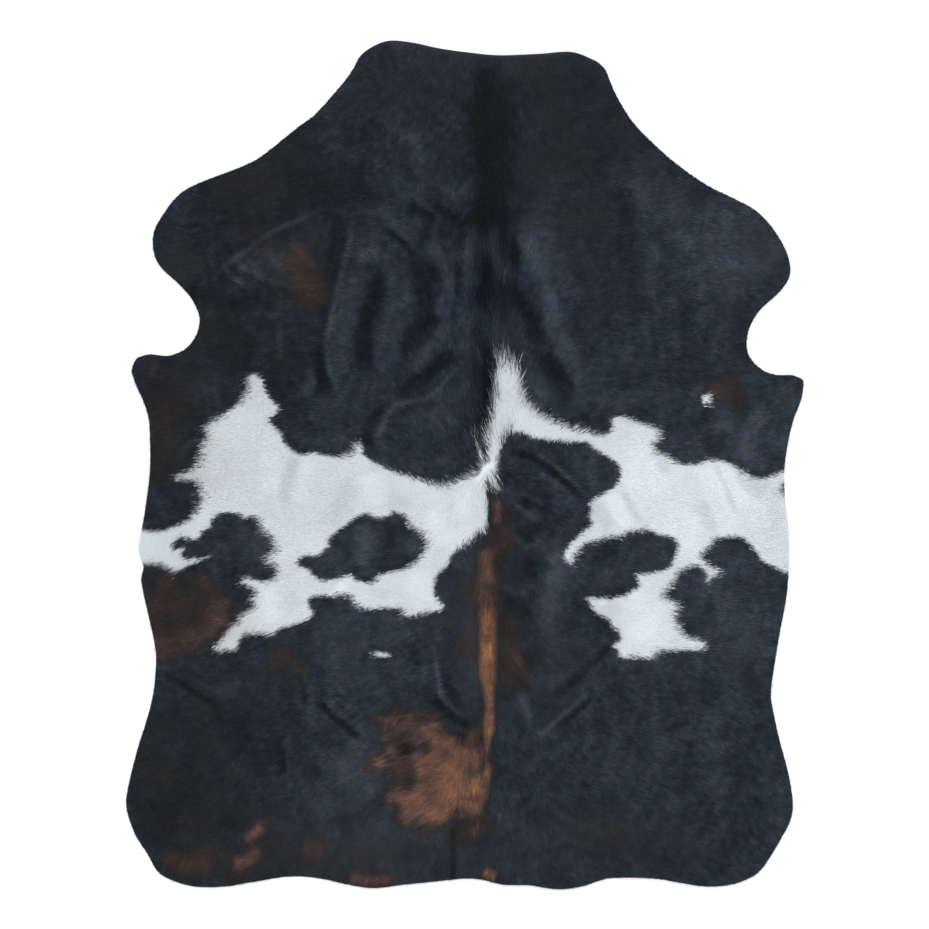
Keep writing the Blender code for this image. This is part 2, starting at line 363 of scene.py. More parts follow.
# %% Crests and hollows from the right shoulder to the loin
NAP["right shoulder"] = [
    ("crest", 0.7, 2.1, [(20.5, 49), (22, 42.5), (23, 36), (26.5, 29.5), (29, 24), (32, 17)]),
    ("upper crest", 0.4, 2.6, [(14, 63), (16.5, 57), (19.5, 50)]),
    ("wedge", -0.7, 2.1, [(20, 29), (23.5, 23.5), (28, 18)]),
    ("wedge's light", 0.3, 1.8, [(17.5, 21.5), (21.5, 17.5), (25, 14)]),
    ("upright hollow", -0.5, 2.1, [(41, 72.5), (42, 64.5), (41.5, 54.5)]),
    ("far crest", 0.4, 2.1, [(46, 74.5), (47, 65.5)]),
    ("short ridge", 0.5, 1.8, [(52, 59.5), (59, 56.5)]),
    ("first column", 0.5, 1.6, [(49.5, 58.5), (48.5, 50.5), (48, 43)]),
    ("second column", 0.6, 1, [(61, 52.5), (61.5, 42)]),
    ("third column", 0.4, 2.1, [(67.5, 45), (70, 42)]),
]
NAP["left foreleg"] = [
    ("long crease", 1, 0.7,
     [(-63, 51), (-57, 55), (-52.5, 58.5), (-48, 61), (-42.5, 63.5), (-39.5, 65)]),
    ("first fan", 0.7, 0.7, [(-62.5, 51), (-60, 48.5), (-57, 47)]),
    ("second fan", 0.6, 0.8, [(-59.5, 52.5), (-53.5, 49), (-48, 47), (-40, 45.5)]),
    ("third fan", 0.6, 0.8, [(-52.5, 57), (-49, 52.5), (-46.5, 48)]),
    ("fourth fan", 0.5, 1, [(-45.5, 58), (-41.5, 54), (-38, 50.5)]),
    ("light", 0.35, 2.6, [(-60.5, 51), (-54.5, 52.5), (-46.5, 53.5), (-40, 55)]),
    ("cross crease", 0.4, 0.7, [(-55.5, 39.5), (-50.5, 38.5), (-46, 39)]),
    ("first upright", 0.8, 0.7, [(-47.5, 38), (-48, 33), (-48, 26.5)]),
    ("second upright", 0.4, 1, [(-52.5, 35), (-53, 28.5)]),
    ("third upright", 0.6, 1.6, [(-41, 25.5), (-39.5, 22), (-42.5, 18)]),
    ("small light", 0.5, 1.3, [(-67.5, 40.5), (-66.5, 38)]),
    ("lower lobe", 0.3, 3.6, [(-77.5, 23), (-68.5, 20.5), (-62, 24.5)]),
]
NAP["right foreleg"] = [
    ("light", 0.6, 2.3, [(78, 15.5), (73.5, 6.5), (74, 0.5)]),
    ("shade", -0.5, 3.1, [(61, 6.5), (67.5, 4)]),
    ("notch shade", -0.4, 2.6, [(73, 33.5), (71.5, 26)]),
]
NAP["spine"] = [
    ("dark of the withers", -1, 1.3, [(6, 32), (6, 22), (5.5, 11.5), (4.5, 3.5)]),
]
NAP["loin"] = [
    ("tuck's crest", 0.8, 0.6, [(18, 3.5), (21.5, 1), (25.5, -2), (29, -5.5), (32.5, -8.5)]),
    ("tuck's hollow", -1, 1, [(11.5, 3.5), (16, 2.5), (20, 0.5), (24, -3), (27.5, -6), (31, -8.5)]),
    ("under the tuck", 0.5, 0.8, [(19, -2.5), (22.5, -4), (27, -7)]),
    ("far side", 0.3, 3.1, [(28.5, 2.5), (35, 0.5)]),
    ("first arc", 0.6, 0.8, [(12.5, -10), (15.5, -12.5), (19.5, -14.5)]),
    ("second arc", 0.5, 1, [(8, -18.5), (11, -17.5), (14, -19.5), (16.5, -22.5)]),
    ("first shade", -0.6, 0.9, [(14, -9), (17.5, -10.5), (21, -12)]),
    ("second shade", -0.6, 1.2, [(12, -16.5), (15, -18.5), (17.5, -21)]),
    ("third shade", -0.6, 1.3, [(15, -24), (17.5, -27), (17, -30)]),
    ("cross light", 0.6, 0.8, [(9, -31.5), (12.5, -33), (16.5, -33.5)]),
    ("dark corner", -0.7, 1.8, [(9.5, -35.5), (13.5, -37), (16.5, -39.5)]),
    ("light upright", 0.5, 2.1, [(25, -25.5), (23, -32.5), (21.5, -40.5), (21, -48)]),
    ("spine shade", -0.3, 1.6, [(8.5, -9.5), (9, -19.5), (9, -30)]),
]
print("crests and hollows so far:", len(strokes_of(NAP)))

# %% [markdown]
# On white hair the painted shade of a hollow is pale grey, so the flanks are charted like the black parts.
# Another tuck runs over the rump, and folds cross both thighs.

# %% Crests and hollows from the flanks to the rump
NAP["left flank"] = [
    ("island's middle", 0.4, 3.6, [(-27, -19.5), (-20.5, -21)]),
    ("upright hollow", -0.5, 1.5, [(-43.5, 2.5), (-45.5, -3.5), (-47.5, -10)]),
    ("lower shade", -0.35, 2.6, [(-22, -32), (-22.5, -35)]),
    ("leg shade", -0.4, 2.1, [(-46, -33), (-43.5, -37.5)]),
    ("small light", 0.5, 1.6, [(-33, -31), (-31.5, -32.5)]),
]
NAP["right flank"] = [
    ("wedge of light", 0.9, 2.1, [(38.5, -7.5), (41, -13), (44, -17)]),
    ("by the wedge", -0.9, 1.3, [(40.5, -6.5), (43, -11.5), (45.5, -16)]),
    ("under the wedge", -0.5, 1.8, [(33, -10), (36.5, -14.5), (38.5, -17)]),
    ("second hollow", -0.6, 1.8, [(61, -9.5), (63.5, -14.5), (64.5, -17.5)]),
    ("first light", 0.9, 2.1, [(62.5, -1), (64.5, -7), (68.5, -16.5)]),
    ("narrow hollow", -0.7, 0.8, [(65, 0), (68, -6), (70.5, -12.5)]),
    ("second light", 0.9, 1.6, [(67, -0.5), (69.5, -5.5), (73, -11)]),
    ("upper shade", -0.6, 2.3, [(70, -3), (75.5, -5.5), (79, -7)]),
    ("far light", 0.5, 2.3, [(76, -9.5), (76.5, -17)]),
    ("small shade", -0.7, 1.3, [(50, 0.5), (53, -1.5)]),
    ("lower light", 0.6, 3.6, [(56, -14.5), (58.5, -22)]),
    ("block's edge", -0.4, 2.3, [(36, -36.5), (39.5, -38.5)]),
]
NAP["left thigh"] = [
    ("ridge", 0.6, 1, [(-44.5, -52), (-42, -55), (-40, -58.5)]),
    ("upright edge", 0.4, 1.3, [(-40, -59), (-40, -64.5), (-40, -70)]),
    ("beside the ridge", -0.6, 0.8, [(-43.5, -54), (-41.5, -57), (-41.5, -62.5)]),
    ("fold", -0.8, 0.8, [(-38.5, -60.5), (-35.5, -64), (-31.5, -67.5), (-28, -70), (-25.5, -72)]),
    ("above the fold", 0.4, 0.7, [(-37, -59.5), (-34, -62.5), (-30, -66), (-27, -68.5)]),
    ("upright", 0.3, 0.8, [(-50, -48.5), (-49.5, -57)]),
    ("light upright", 0.5, 0.8, [(-45.5, -70), (-47, -74)]),
    ("dark upright", -0.7, 0.8, [(-47, -73.5), (-47, -80.5)]),
]
NAP["right thigh"] = [
    ("fold's crest", 0.7, 0.6, [(32.5, -58.5), (27.5, -63), (22, -68), (18.5, -71)]),
    ("fold's hollow", -0.55, 0.7, [(33.5, -60), (28.5, -64.5), (23.5, -68.5)]),
    ("hollow above", -0.55, 1, [(38.5, -45.5), (33, -51.5), (28.5, -56), (23.5, -59.5)]),
    ("inner crest", 0.3, 1, [(14, -58.5), (15.5, -62.5), (17, -67)]),
    ("streaks", 0.5, 0.9, [(12.5, -48), (15, -52), (18.5, -58)]),
]
NAP["left haunch"] = [
    ("dark crease", -0.8, 0.8, [(-78, -54), (-74, -56.5), (-68.5, -60), (-63, -63.5)]),
    ("upper crease", 0.4, 0.7, [(-77, -52.5), (-71, -54.5), (-65.5, -58), (-61.5, -61.5)]),
    ("second dark", -0.6, 0.8, [(-76, -53), (-70.5, -54), (-67, -56.5)]),
    ("light above", 0.4, 2.3, [(-64.5, -56), (-58, -58.5)]),
    ("first upright", 0.2, 1.3, [(-68.5, -70), (-68.5, -74)]),
    ("second upright", 0.2, 1.3, [(-63, -71), (-62, -77)]),
    ("third upright", 0.2, 1.3, [(-61, -84), (-60.5, -88)]),
]
NAP["right haunch"] = [
    ("first light", 0.2, 1.6, [(62, -63.5), (67.5, -66.5)]),
    ("second light", 0.2, 1.6, [(67, -67), (62, -72)]),
    ("first hollow", -0.2, 1.3, [(58, -71), (58, -85)]),
    ("second hollow", -0.2, 1.3, [(70, -73.5), (70, -87.5)]),
]
NAP["rump"] = [
    ("tuck's crest", 1.15, 0.6,
     [(-7.5, -49.5), (-7, -54), (-6.5, -57.5), (-5.5, -61), (-3, -63.5), (1, -66.5)]),
    ("tuck's left hollow", -1.2, 1.3, [(-8.5, -60), (-6, -62.5), (-2.5, -65.5), (1.5, -67.5)]),
    ("tuck's right hollow", -0.75, 1.2, [(-5, -53), (-4.5, -57), (-2.5, -60.5), (-0.5, -63)]),
    ("second crest", 0.3, 0.8, [(-10, -51), (-11.5, -59)]),
    ("dark spot", -0.6, 1.8, [(-16.5, -72), (-15.5, -76), (-14.5, -80)]),
    ("light arc", 0.4, 1.3, [(-58, -97.5), (-52.5, -93.5), (-44.5, -93.5)]),
    ("line by the tail", -0.9, 0.8, [(-3, -93), (-3, -108.5)]),
    ("shade by the tail", -0.5, 1.8, [(-2.5, -94), (4, -94)]),
    ("fringe of the patch", -0.75, 1.6, [(-2.5, -71), (1.5, -72), (5.5, -72)]),
]
print("crests and hollows so far:", len(strokes_of(NAP)))

# %% [markdown]
# Now the strokes lift and sink the leather. A crease's height goes with its width, so it needs no number
# of its own in the chart.

# %% Height of the creases
CREASE_RISE = 0.085  # height of a crest or depth of a hollow, as a share of its half width
WIDEST_CREASE = 3.0  # half width in centimetres past which a stroke is a shading, not a crease


def crease_height(stroke):
    """A crease is as high as its width allows. A broad shading has nearly no height."""
    width = min(stroke.half_width, WIDEST_CREASE * WIDEST_CREASE / stroke.half_width)
    return stroke.amount * width * CM * CREASE_RISE


creases = draw(NAP, weigh=crease_height)
lowest, highest = round(creases.min() * 1000, 1), round(creases.max() * 1000, 1)
print(len(strokes_of(NAP)), "crests and hollows, from", lowest, "to", highest, "mm")

# %% [markdown]
# The coat between them isn't one even black either. It is deepest along the back and on the left haunch and
# palest on the right shoulder, and lighter or darker hairs mix in from place to place. Part of this chart is
# the hair's own colour, such as grey and pale hairs and the dark of the back, and part is painted sheen and
# painted shade: its lights, hollows and edge shades. Such a shading changes only how light the hair is and
# leaves the leather as it lies.

# %% Shadings from the neck to the forelegs
# Part real tone of the hair, part painted sheen and painted shade.
BROAD = {}
BROAD["neck"] = [
    ("left half", -0.2, 15, [(-18, 104), (-14, 86), (-12, 70)]),
    ("dark of the back", -0.95, 3.8, [(5, 99.5), (4.5, 92), (5.5, 81.5), (6, 71), (7, 61.5)]),
    ("dark of the back, front", -0.7, 3.2, [(5, 103.5), (6.5, 97), (8.5, 92), (9, 84)]),
    ("dark of the back, right side", -0.5, 3, [(10, 94.5), (11, 84), (10, 68.5)]),
    ("darkest", -0.6, 4, [(5.5, 70), (7, 63)]),
    ("along the back", -0.35, 7, [(7, 106), (7, 90), (7, 76), (7, 62)]),
    ("right half", -0.5, 14, [(22, 104), (24, 88), (28, 70)]),
    ("far right", 0.3, 9, [(46, 82), (50, 68), (52, 60)]),
    ("left of the back", -0.3, 6, [(-3, 88), (-2, 70), (-3, 48), (-1, 32)]),
    ("left light", 0.25, 7, [(-16.5, 89.5), (-11.5, 79), (-16.5, 68.5)]),
    ("back's foot", -0.4, 5, [(8, 66.5), (14.5, 63.5), (19.5, 60.5)]),
    ("left corner", -0.2, 4.5, [(-23, 105), (-18, 101)]),
    ("left edge", 0.3, 3, [(-33.5, 93), (-36, 84.5)]),
    ("foot's crossing dark", -0.8, 1.9, [(0.5, 62), (6, 62.5), (12.5, 64)]),
    ("beside the crest", -0.1, 6, [(12, 89.5), (14.5, 68.5)]),
    ("right side", 0.15, 9.3, [(25, 97), (25, 81.5), (26, 66)]),
    ("left front edge", -0.1, 6.7, [(-23, 101), (-29.5, 92), (-35, 84), (-45.5, 76.5)]),
]
BROAD["withers"] = [
    ("right side", 0.55, 7, [(17, 66), (18, 56), (20, 46)]),
    ("crest's end", -0.4, 3.5, [(8, 65), (14, 62)]),
    ("right side by the back", -0.3, 3.4, [(10.5, 64.5), (11.5, 53), (12, 40)]),
    ("dark of the back", -0.55, 4.2, [(7.5, 64.5), (8, 48), (9, 35)]),
    ("light beside the tuft", 0.5, 2.2, [(16.5, 26.5), (18, 20.5), (21, 15.5)]),
]
BROAD["left shoulder"] = [
    ("upper edge", -0.3, 15, [(-36, 90), (-54, 74), (-72, 64)]),
    ("before the crest", -0.55, 10, [(-38, 78), (-36, 66)]),
    ("back side", -0.08, 12, [(-26, 50), (-20, 34), (-16, 14)]),
    ("foot", 0.2, 8, [(-40, 10), (-30, 10), (-18, 6)]),
    ("crest's top", -0.35, 5, [(-31, 72), (-30, 58), (-32, 44)]),
    ("outer crest's light", 0.3, 2.6, [(-27.5, 52.5), (-28.5, 42.5), (-29.5, 33.5)]),
    ("behind the crest", -0.25, 2.6, [(-28.5, 58.5), (-30.5, 48)]),
    ("outer crest's foot", -0.3, 2, [(-35.5, 41.5), (-37, 29.5), (-36, 22)]),
    ("inner dark", -0.4, 2.2, [(-10.5, 33.5), (-6.5, 31)]),
]
BROAD["right shoulder"] = [
    ("far", 0.75, 15, [(60, 66), (72, 58), (80, 48)]),
    ("teal", -0.1, 12, [(52, 38), (62, 30), (68, 20)]),
    ("below", 0.2, 8, [(36, 36), (48, 28), (58, 30)]),
    ("lower shade", -0.2, 5, [(47, 31), (58.5, 29.5)]),
    ("light", 0.25, 6, [(61, 41.5), (65, 31)]),
    ("brown patch's light", 0.75, 4, [(62.5, 19.5), (66, 18), (70, 17)]),
    ("below the brown patch", 0.35, 3, [(62.5, 11.5), (70, 11)]),
    ("brown patch's hollow", -0.4, 2, [(61, 12), (65, 12.5)]),
    ("pale hairs by the fleck", 0.9, 1.1, [(59, 17), (60.5, 19.5), (62.5, 21)]),
    ("brown patch's upper light", 0.4, 3, [(70.5, 29.5), (72, 24)]),
    ("brown patch's dark side", -0.35, 4, [(74.5, 19), (73, 9.5)]),
    ("patch of light", 0.05, 7.8, [(35, 42.5), (50.5, 35), (61, 29.5)]),
    ("edge shade", -0.15, 4.7, [(43, 92), (56, 77.5), (70, 67.5), (79, 58)]),
]
BROAD["left foreleg"] = [
    ("below", -0.6, 12, [(-72, 50), (-62, 40), (-50, 36)]),
    ("towards the white", -0.35, 12, [(-60, 30), (-46, 24), (-38, 14)]),
    ("fan", 0.35, 7, [(-60, 50), (-50, 52), (-42, 54)]),
    ("upper", -0.3, 8, [(-74, 62), (-58, 63), (-40, 59.5)]),
]
BROAD["left lobe"] = [
    ("whole", -0.45, 11, [(-80, 24), (-76, 8), (-78, -8)]),
    ("dark", -0.3, 5, [(-80.5, 24), (-70, 22)]),
]
BROAD["right foreleg"] = [
    ("outer", 0.5, 9, [(84, 22), (79, 10), (74, -1)]),
    ("inner", 0.3, 6, [(62, 14), (64, 6), (62, 2)]),
    ("tip's light", 0.3, 5, [(78.5, 59.5), (81.5, 52.5)]),
]
print("shadings so far:", len(strokes_of(BROAD)))

# %% [markdown]
# A brown stripe runs down the back behind the whorl, and beside it the hair is dark. The white of the
# flanks has lighter and greyer places, partly paler hairs and partly painted highlight and painted shade
# by its hollows, and so has the black island in it.

# %% Shadings from the spine to the flanks
BROAD["spine"] = [
    ("left side", 0.05, 5, [(0, -28), (-2, -42), (-2, -56)]),
    ("dark beside the white strip", -0.4, 3, [(3.5, 6.5), (4.5, 14), (5, 24.5)]),
]
BROAD["stripe"] = [
    ("deep", -0.8, 1.8, [(6, -35), (6, -40.5), (6.5, -45.5)]),
    ("upper light", 0.35, 1.2, [(6.5, -38.5), (6.5, -41.5)]),
    ("knot", -0.7, 1.1, [(5.5, -44), (6, -46.5)]),
    ("lower shade", -0.6, 1.3, [(6, -50), (6, -54.5), (6.5, -58.5)]),
    ("lower light", 0.35, 1.1, [(6.5, -60), (6.5, -63)]),
    ("wide shade", -0.26, 2.4, [(5.5, -24), (6, -35), (6, -48), (6, -58.5)]),
    ("wide light on the left", 0.35, 3, [(1.5, -22), (1.5, -40.5), (2, -61)]),
    ("dark on the right", -0.5, 1.8, [(10, -38), (11, -45.5)]),
    ("light on the left", 0.35, 2.4, [(2, -35), (2.5, -48), (3, -58.5)]),
]
BROAD["right of the spine"] = [
    ("light", 0.3, 4, [(28, -19.5), (25, -32.5)]),
    ("crossing light", 0.4, 2, [(18.5, -19), (25, -25)]),
    ("second streak", 0.4, 1, [(13.5, -58.5), (16.5, -63), (16, -68.5)]),
]
BROAD["loin"] = [
    ("right", 0.05, 9, [(16, 4), (22, -8), (18, -22)]),
    ("right of the spine", -0.1, 7, [(12, -14), (13, -28), (14, -42)]),
    ("outer end", 0.3, 6, [(32, 2), (38, -2)]),
    ("towards the tip", 0.35, 5, [(25, -22), (22, -36), (21, -44)]),
]
BROAD["left flank"] = [
    ("dark patch", 0.2, 8, [(-66, -20), (-56, -24)]),
    ("by the patch", 0.25, 5, [(-52, -20), (-52, -28)]),
    ("white", -0.15, 16, [(-58, 8), (-52, -8), (-54, -16)]),
    ("white by the spine", 0.15, 10, [(-20, -8), (-6, -10)]),
    ("dark edge", -0.3, 5, [(-77.5, -14.5), (-74.5, -25), (-72.5, -35)]),
    ("dark by the white", -0.5, 3, [(-62, -25), (-58, -28.5)]),
    ("dark tail", -0.5, 3.4, [(-67.5, -48), (-59.5, -56)]),
    ("light before the hollow", 0.4, 2.8, [(-51, 3.5), (-50.5, -1.5), (-50, -8)]),
    ("light after the hollow", 0.45, 2, [(-41, 1.5), (-41.5, -4), (-43, -10.5)]),
    ("second light", 0.6, 4, [(-25.5, -2), (-24, -6.5), (-23.5, -11)]),
    ("second hollow", -0.5, 2.6, [(-29, -3), (-31, -8.5), (-34.5, -16.5)]),
    ("above the island", -0.45, 1.8, [(-20, -10), (-13, -10)]),
    ("beside the island", 0.6, 2.6, [(-9.5, -11.5), (-6.5, -16.5), (-4, -21)]),
    ("lower light", 0.55, 4, [(-10.5, -28), (-13.5, -34.5)]),
    ("leg light", 0.5, 2, [(-51, -32), (-49.5, -41.5)]),
    ("small light", 0.6, 1.6, [(-71.5, -7), (-69, -8.5)]),
    ("upper light", 0.3, 3, [(-76.5, 9), (-73.5, 3)]),
    ("black bay's light", 0.5, 1.8, [(-53.5, -17), (-52.5, -24)]),
    ("fuzz above the white", 0.4, 1.6, [(-46, 7.5), (-36, 6), (-29.5, 7.5)]),
    ("pale hairs", 0.8, 0.9, [(-69, 7), (-72, 4.5), (-74, 1)]),
    ("fore part", -0.12, 6.7, [(-64.5, 6.5), (-62, -4), (-59.5, -9.5)]),
    ("by the spine", 0.4, 4.2, [(-2.5, -9.5), (1.5, -10.5)]),
]
BROAD["island"] = [
    ("left end", 0.5, 6, [(-40, -26), (-32, -22)]),
    ("right end", 0.5, 4, [(-12, -20), (-14, -24)]),
    ("light streak", 0.95, 2.6, [(-27.5, -15), (-26.5, -21), (-27.5, -27)]),
    ("right light", 0.45, 2, [(-14.5, -17.5), (-13.5, -24)]),
    ("dark streak", -0.3, 1.6, [(-18.5, -14.5), (-19.5, -25)]),
]
BROAD["right flank"] = [
    ("lower", 0.45, 13, [(66, -24), (72, -36), (74, -52)]),
    ("black bay", 0.1, 9, [(42, -24), (50, -24)]),
    ("white", 0.5, 18, [(38, 2), (56, -8), (76, -14)]),
    ("lower white", 0.45, 9, [(46, -38), (54, -46)]),
    ("edge", 0.2, 8, [(71.5, -35), (74, -51)]),
    ("dark hook", -0.6, 2.4, [(62.5, -28), (67, -26.5)]),
    ("middle", 0.3, 5.2, [(45.5, 6.5), (48, -4), (48, -13)]),
    ("lower block", 0.6, 4.2, [(45.5, -32.5), (45.5, -41.5), (48, -45.5)]),
]
print("shadings so far:", len(strokes_of(BROAD)))

# %% [markdown]
# The left haunch is the darkest large part of the hide. On the rump, dark notches and grey hairs break up
# the brown patch.

# %% Shadings from the thighs to the hind legs
BROAD["left thigh"] = [
    ("top", 0.45, 11, [(-38, -38), (-26, -44), (-14, -42)]),
    ("upper light", 0.2, 4.5, [(-50, -51), (-45.5, -49.5), (-41.5, -51)]),
    ("lower", 0.25, 7, [(-55.5, -65), (-42.5, -67.5)]),
    ("by the rump", 0.3, 5, [(-31, -71.5), (-27, -78)]),
    ("light", 0.25, 9, [(-40, -43), (-24.5, -56)]),
    ("low shade", -0.25, 4.6, [(-41.5, -78), (-32.5, -83)]),
]
BROAD["right thigh"] = [
    ("shade", -0.2, 6, [(12, -48), (14, -60)]),
    ("upper", 0.2, 8, [(19.5, -48), (32.5, -58.5)]),
]
BROAD["left haunch"] = [
    ("whole", -0.55, 22, [(-70, -60), (-68, -80), (-66, -98)]),
    ("front", -0.3, 9, [(-50, -60), (-50, -76)]),
    ("low", -0.15, 10, [(-81.5, -87), (-68.5, -97.5)]),
    ("by the flank's tail", 0.35, 4, [(-67.5, -49.5), (-64.5, -54)]),
    ("light", 0.2, 7.8, [(-64.5, -71.5), (-58, -84.5), (-45.5, -84.5)]),
]
BROAD["right haunch"] = [
    ("whole", 0.08, 20, [(36, -70), (54, -74), (70, -76)]),
    ("far", 0.3, 12, [(78, -80), (78, -100)]),
    ("low", -0.3, 9, [(71.5, -87), (75.5, -97.5)]),
    ("inner shade", -0.15, 7, [(12, -84.5), (35, -86)]),
    ("dark foot", -0.2, 6, [(73.5, -87), (74.5, -97.5)]),
    ("dark streak", -0.2, 4, [(27.5, -87), (49.5, -87)]),
    ("under the white", 0.35, 3, [(36.5, -45.5), (45.5, -53), (58.5, -53)]),
    ("upper", 0.2, 6, [(63.5, -53.5), (74, -60)]),
    ("inner", 0.2, 5, [(28.5, -91), (34, -96)]),
    ("first low streak", 0.35, 1, [(21, -89), (30, -93), (38.5, -97)]),
    ("second low streak", 0.3, 1, [(23.5, -95.5), (33, -99.5)]),
    ("third low streak", 0.3, 1, [(33, -90), (45.5, -96)]),
    ("low hollow", -0.3, 1.2, [(25, -98), (35, -102)]),
    ("light", 0.2, 8.8, [(25, -82), (40.5, -84.5), (56, -82)]),
]
BROAD["rump"] = [
    ("fringe's shade", -0.8, 2, [(-3, -72), (1.5, -72.5), (5.5, -72.5)]),
    ("cross line", -0.9, 1, [(-2.5, -86.5), (1.5, -86.5), (5.5, -86)]),
    ("notch's shade", -0.8, 1.3, [(-2, -88.5), (-1.5, -91)]),
    ("hole's shade", -0.6, 2.4, [(-15.5, -72), (-14.5, -75.5)]),
    ("dull side's shade", -0.3, 2.2, [(-20.5, -78), (-16.5, -79), (-12.5, -79.5)]),
    ("pink crest", 0.6, 1.4, [(-12.5, -68.5), (-9, -68), (-7, -69)]),
    ("left corner's grey hairs", 0.6, 3.4, [(-21, -67), (-21, -72)]),
    ("tail's grey hairs", 1.6, 3, [(-26, -76.5), (-21, -79.5)]),
    ("grey blotch's hairs", 0.9, 1.4, [(-13, -72), (-11, -75.5)]),
    ("left lobe's light", 0.35, 1.2, [(-17.5, -86), (-12.5, -85.5)]),
    ("left lobe's shade", -0.4, 1.1, [(-16.5, -88), (-12.5, -88.5)]),
    ("bottom light", 0.3, 1.5, [(-14, -91), (-10, -92.5)]),
    ("right light", 0.3, 1.2, [(2.5, -76.5), (3, -84)]),
    ("foot's light", 0.8, 1.4, [(3, -89), (4, -90.5)]),
    ("streak", -0.35, 0.9, [(-6.5, -78), (-4, -80.5), (-2, -84.5)]),
    ("upper streak", -0.35, 0.9, [(-4.5, -74), (-6, -77)]),
    ("top shade", -0.35, 2, [(-20.5, -66.5), (-16.5, -66)]),
    ("left of it", 0.5, 9, [(-36, -76), (-34, -92)]),
    ("foot", -0.15, 6, [(-14, -97), (-8, -103), (0, -103)]),
    ("foot left", 0.35, 8, [(-30, -98), (-14, -96), (-4, -98)]),
    ("wide light below", 0.25, 8, [(-37.5, -100), (-11.5, -101.5), (25, -100)]),
    ("light on the left", 0.5, 4.6, [(-31, -71.5), (-26.5, -79), (-20.5, -83)]),
    ("left light below", 0.35, 5.5, [(-41.5, -96), (-33.5, -100)]),
    ("below", -0.3, 4, [(-16, -97), (-12, -103)]),
]
BROAD["left hind leg"] = [
    ("edge shade", -0.15, 4.2, [(-83, -87), (-77.5, -100), (-63.5, -106.5), (-42.5, -106)]),
]
BROAD["right hind leg"] = [
    ("edge shade", -0.1, 4.7, [(83, -87), (76.5, -100), (63.5, -106.5), (45.5, -106)]),
]
print("shadings so far:", len(strokes_of(BROAD)))

# %% [markdown]
# Both charts make one map: painted light and shade, and the hair's own tone. Creases fall off quickly at
# their sides and shadings softly. Where creases meet, the map stays within limits, since hair has a
# darkest and a lightest shade.

# %% Light and dark together
DARKEST_CREASE = -1.0  # hollows that meet get no darker than this
LIGHTEST_CREASE = 1.1  # and crests no lighter than this

# Painted highlight on crests and painted shade in hollows, plus broad shadings that are partly painted sheen
# and shade.
tone = np.clip(draw(NAP, side=steep_side), DARKEST_CREASE, LIGHTEST_CREASE) + draw(BROAD)
print(len(strokes_of(BROAD)), "broad shadings, mean tone", round(tone[on_hide].mean(), 3))

# %% [markdown]
# ## How the leather lies
#
# The solid holds the large ripples in a few faces. A ray sent up from below at each place of the map finds
# the underside, which is then smoothed so that no facet shows. The creases above are added, and a slow
# unevenness of a millimetre or two, because leather never lies quite flat. It can't sink into the floor, so
# the sum is bent softly to zero there.

# %% Height map
SKIN = 0.0022  # thickness of the tanned leather
RAYS_FROM = -1.0  # height where the rays start, a metre below the floor
FACET_BLUR = 0.011  # how far the solid's facets are smoothed
LEAST_HIDE = 0.05  # a place with less hide around it than this share is left flat
SLOW_WAVE = 0.0007  # spread of the slow unevenness
SLOW_WAVE_SIZE = 0.05  # and how wide it is
LIFT = 0.0012  # the leather's mean height over the floor between the ripples
FLOOR_BEND = 0.0008  # how softly a hollow ends on the floor


def underside_of(bm):
    """Height of the solid's underside over each place of the hide, found by a ray from below."""
    tree = BVHTree.FromBMesh(bm)
    up = Vector((0, 0, 1))
    heights = np.zeros(SHAPE)
    for j, i in zip(*np.nonzero(on_hide)):
        place, _, _, _ = tree.ray_cast(Vector((map_x[i], map_y[j], RAYS_FROM)), up)
        if place is not None:
            heights[j, i] = place.z
    return heights


ripples = underside_of(solid_mesh)
solid_mesh.free()
hide_around = blur(on_hide.astype(float), FACET_BLUR)
ripples = blur(ripples, FACET_BLUR) / np.maximum(hide_around, LEAST_HIDE)
ripples = np.where(hide_around > LEAST_HIDE, ripples, 0.0)
raw = ripples + LIFT + creases + SLOW_WAVE * clouds(SLOW_WAVE_SIZE, seed=11)
under = 0.5 * (raw + np.sqrt(raw ** 2 + FLOOR_BEND ** 2))
skin_top = under + SKIN
print("leather's top: up to", round(skin_top[on_hide].max() * 1000, 1), "mm high")

# %% [markdown]
# ## The lie of the hair
#
# Hair grows in streams. On this hide it parts at a whorl on the loin: in front of it the hair of the back
# runs up towards the neck, and behind it runs down to the tail. The hair of the neck comes down to meet it
# at the crest of the withers, and on both sides the streams turn outwards over the ribs. A row of the chart
# is a place and the way that the hair points there, in degrees.

# %% Which way the hair points
STREAMS = {}
STREAMS["neck"] = [
    (-25, 100, 215), (-10, 100, 235), (7, 100, 270), (22, 100, 300), (32, 98, 320), (-38, 85, 205),
    (-12, 80, 225), (0, 85, 252), (7, 82, 270), (14, 84, 290), (25, 82, 315), (42, 85, 335),
    (-12, 67, 215), (-1, 68, 250), (7, 67, 270), (15, 68, 292), (25, 67, 325)]
STREAMS["withers"] = [
    (7.5, 27, 103), (10.5, 26, 92), (13, 25, 82), (15.5, 19, 66), (18, 15, 56), (22, 12.5, 44),
    (26, 10, 34), (32, 8, 24), (7, 56, 90), (-3, 54, 112), (17, 54, 68), (-12, 54, 150), (28, 54, 25),
    (7, 45, 90), (-5, 40, 115), (5, 34, 98), (-5, 25, 118), (19, 45, 54), (22, 32, 48), (15, 34, 66),
    (3, 22, 98), (3, 14, 100), (7, 18, 87), (9, 18, 86), (7, 12, 88), (9, 12, 84), (-5, 10, 122),
    (13, 14, 72), (12, 7.5, 80), (7, 6, 84), (4, 6, 102), (5.5, 2.5, 94), (9, 4, 78), (10, 2, 74),
    (3.5, 0.5, 108), (1.5, -1.5, 112), (-2, -2.5, 116), (-7, -4, 124), (4.4, 0.6, 108), (5.6, 0.6, 102),
    (6.6, 0.7, 97), (7.6, 0.9, 90), (3, -2.4, 118), (4.3, -1.5, 116), (5.8, -2.2, 282),
    (6.8, -1.6, 284), (7.8, -1.4, 288), (7, -2.8, 285), (5.3, -3.6, 272)]
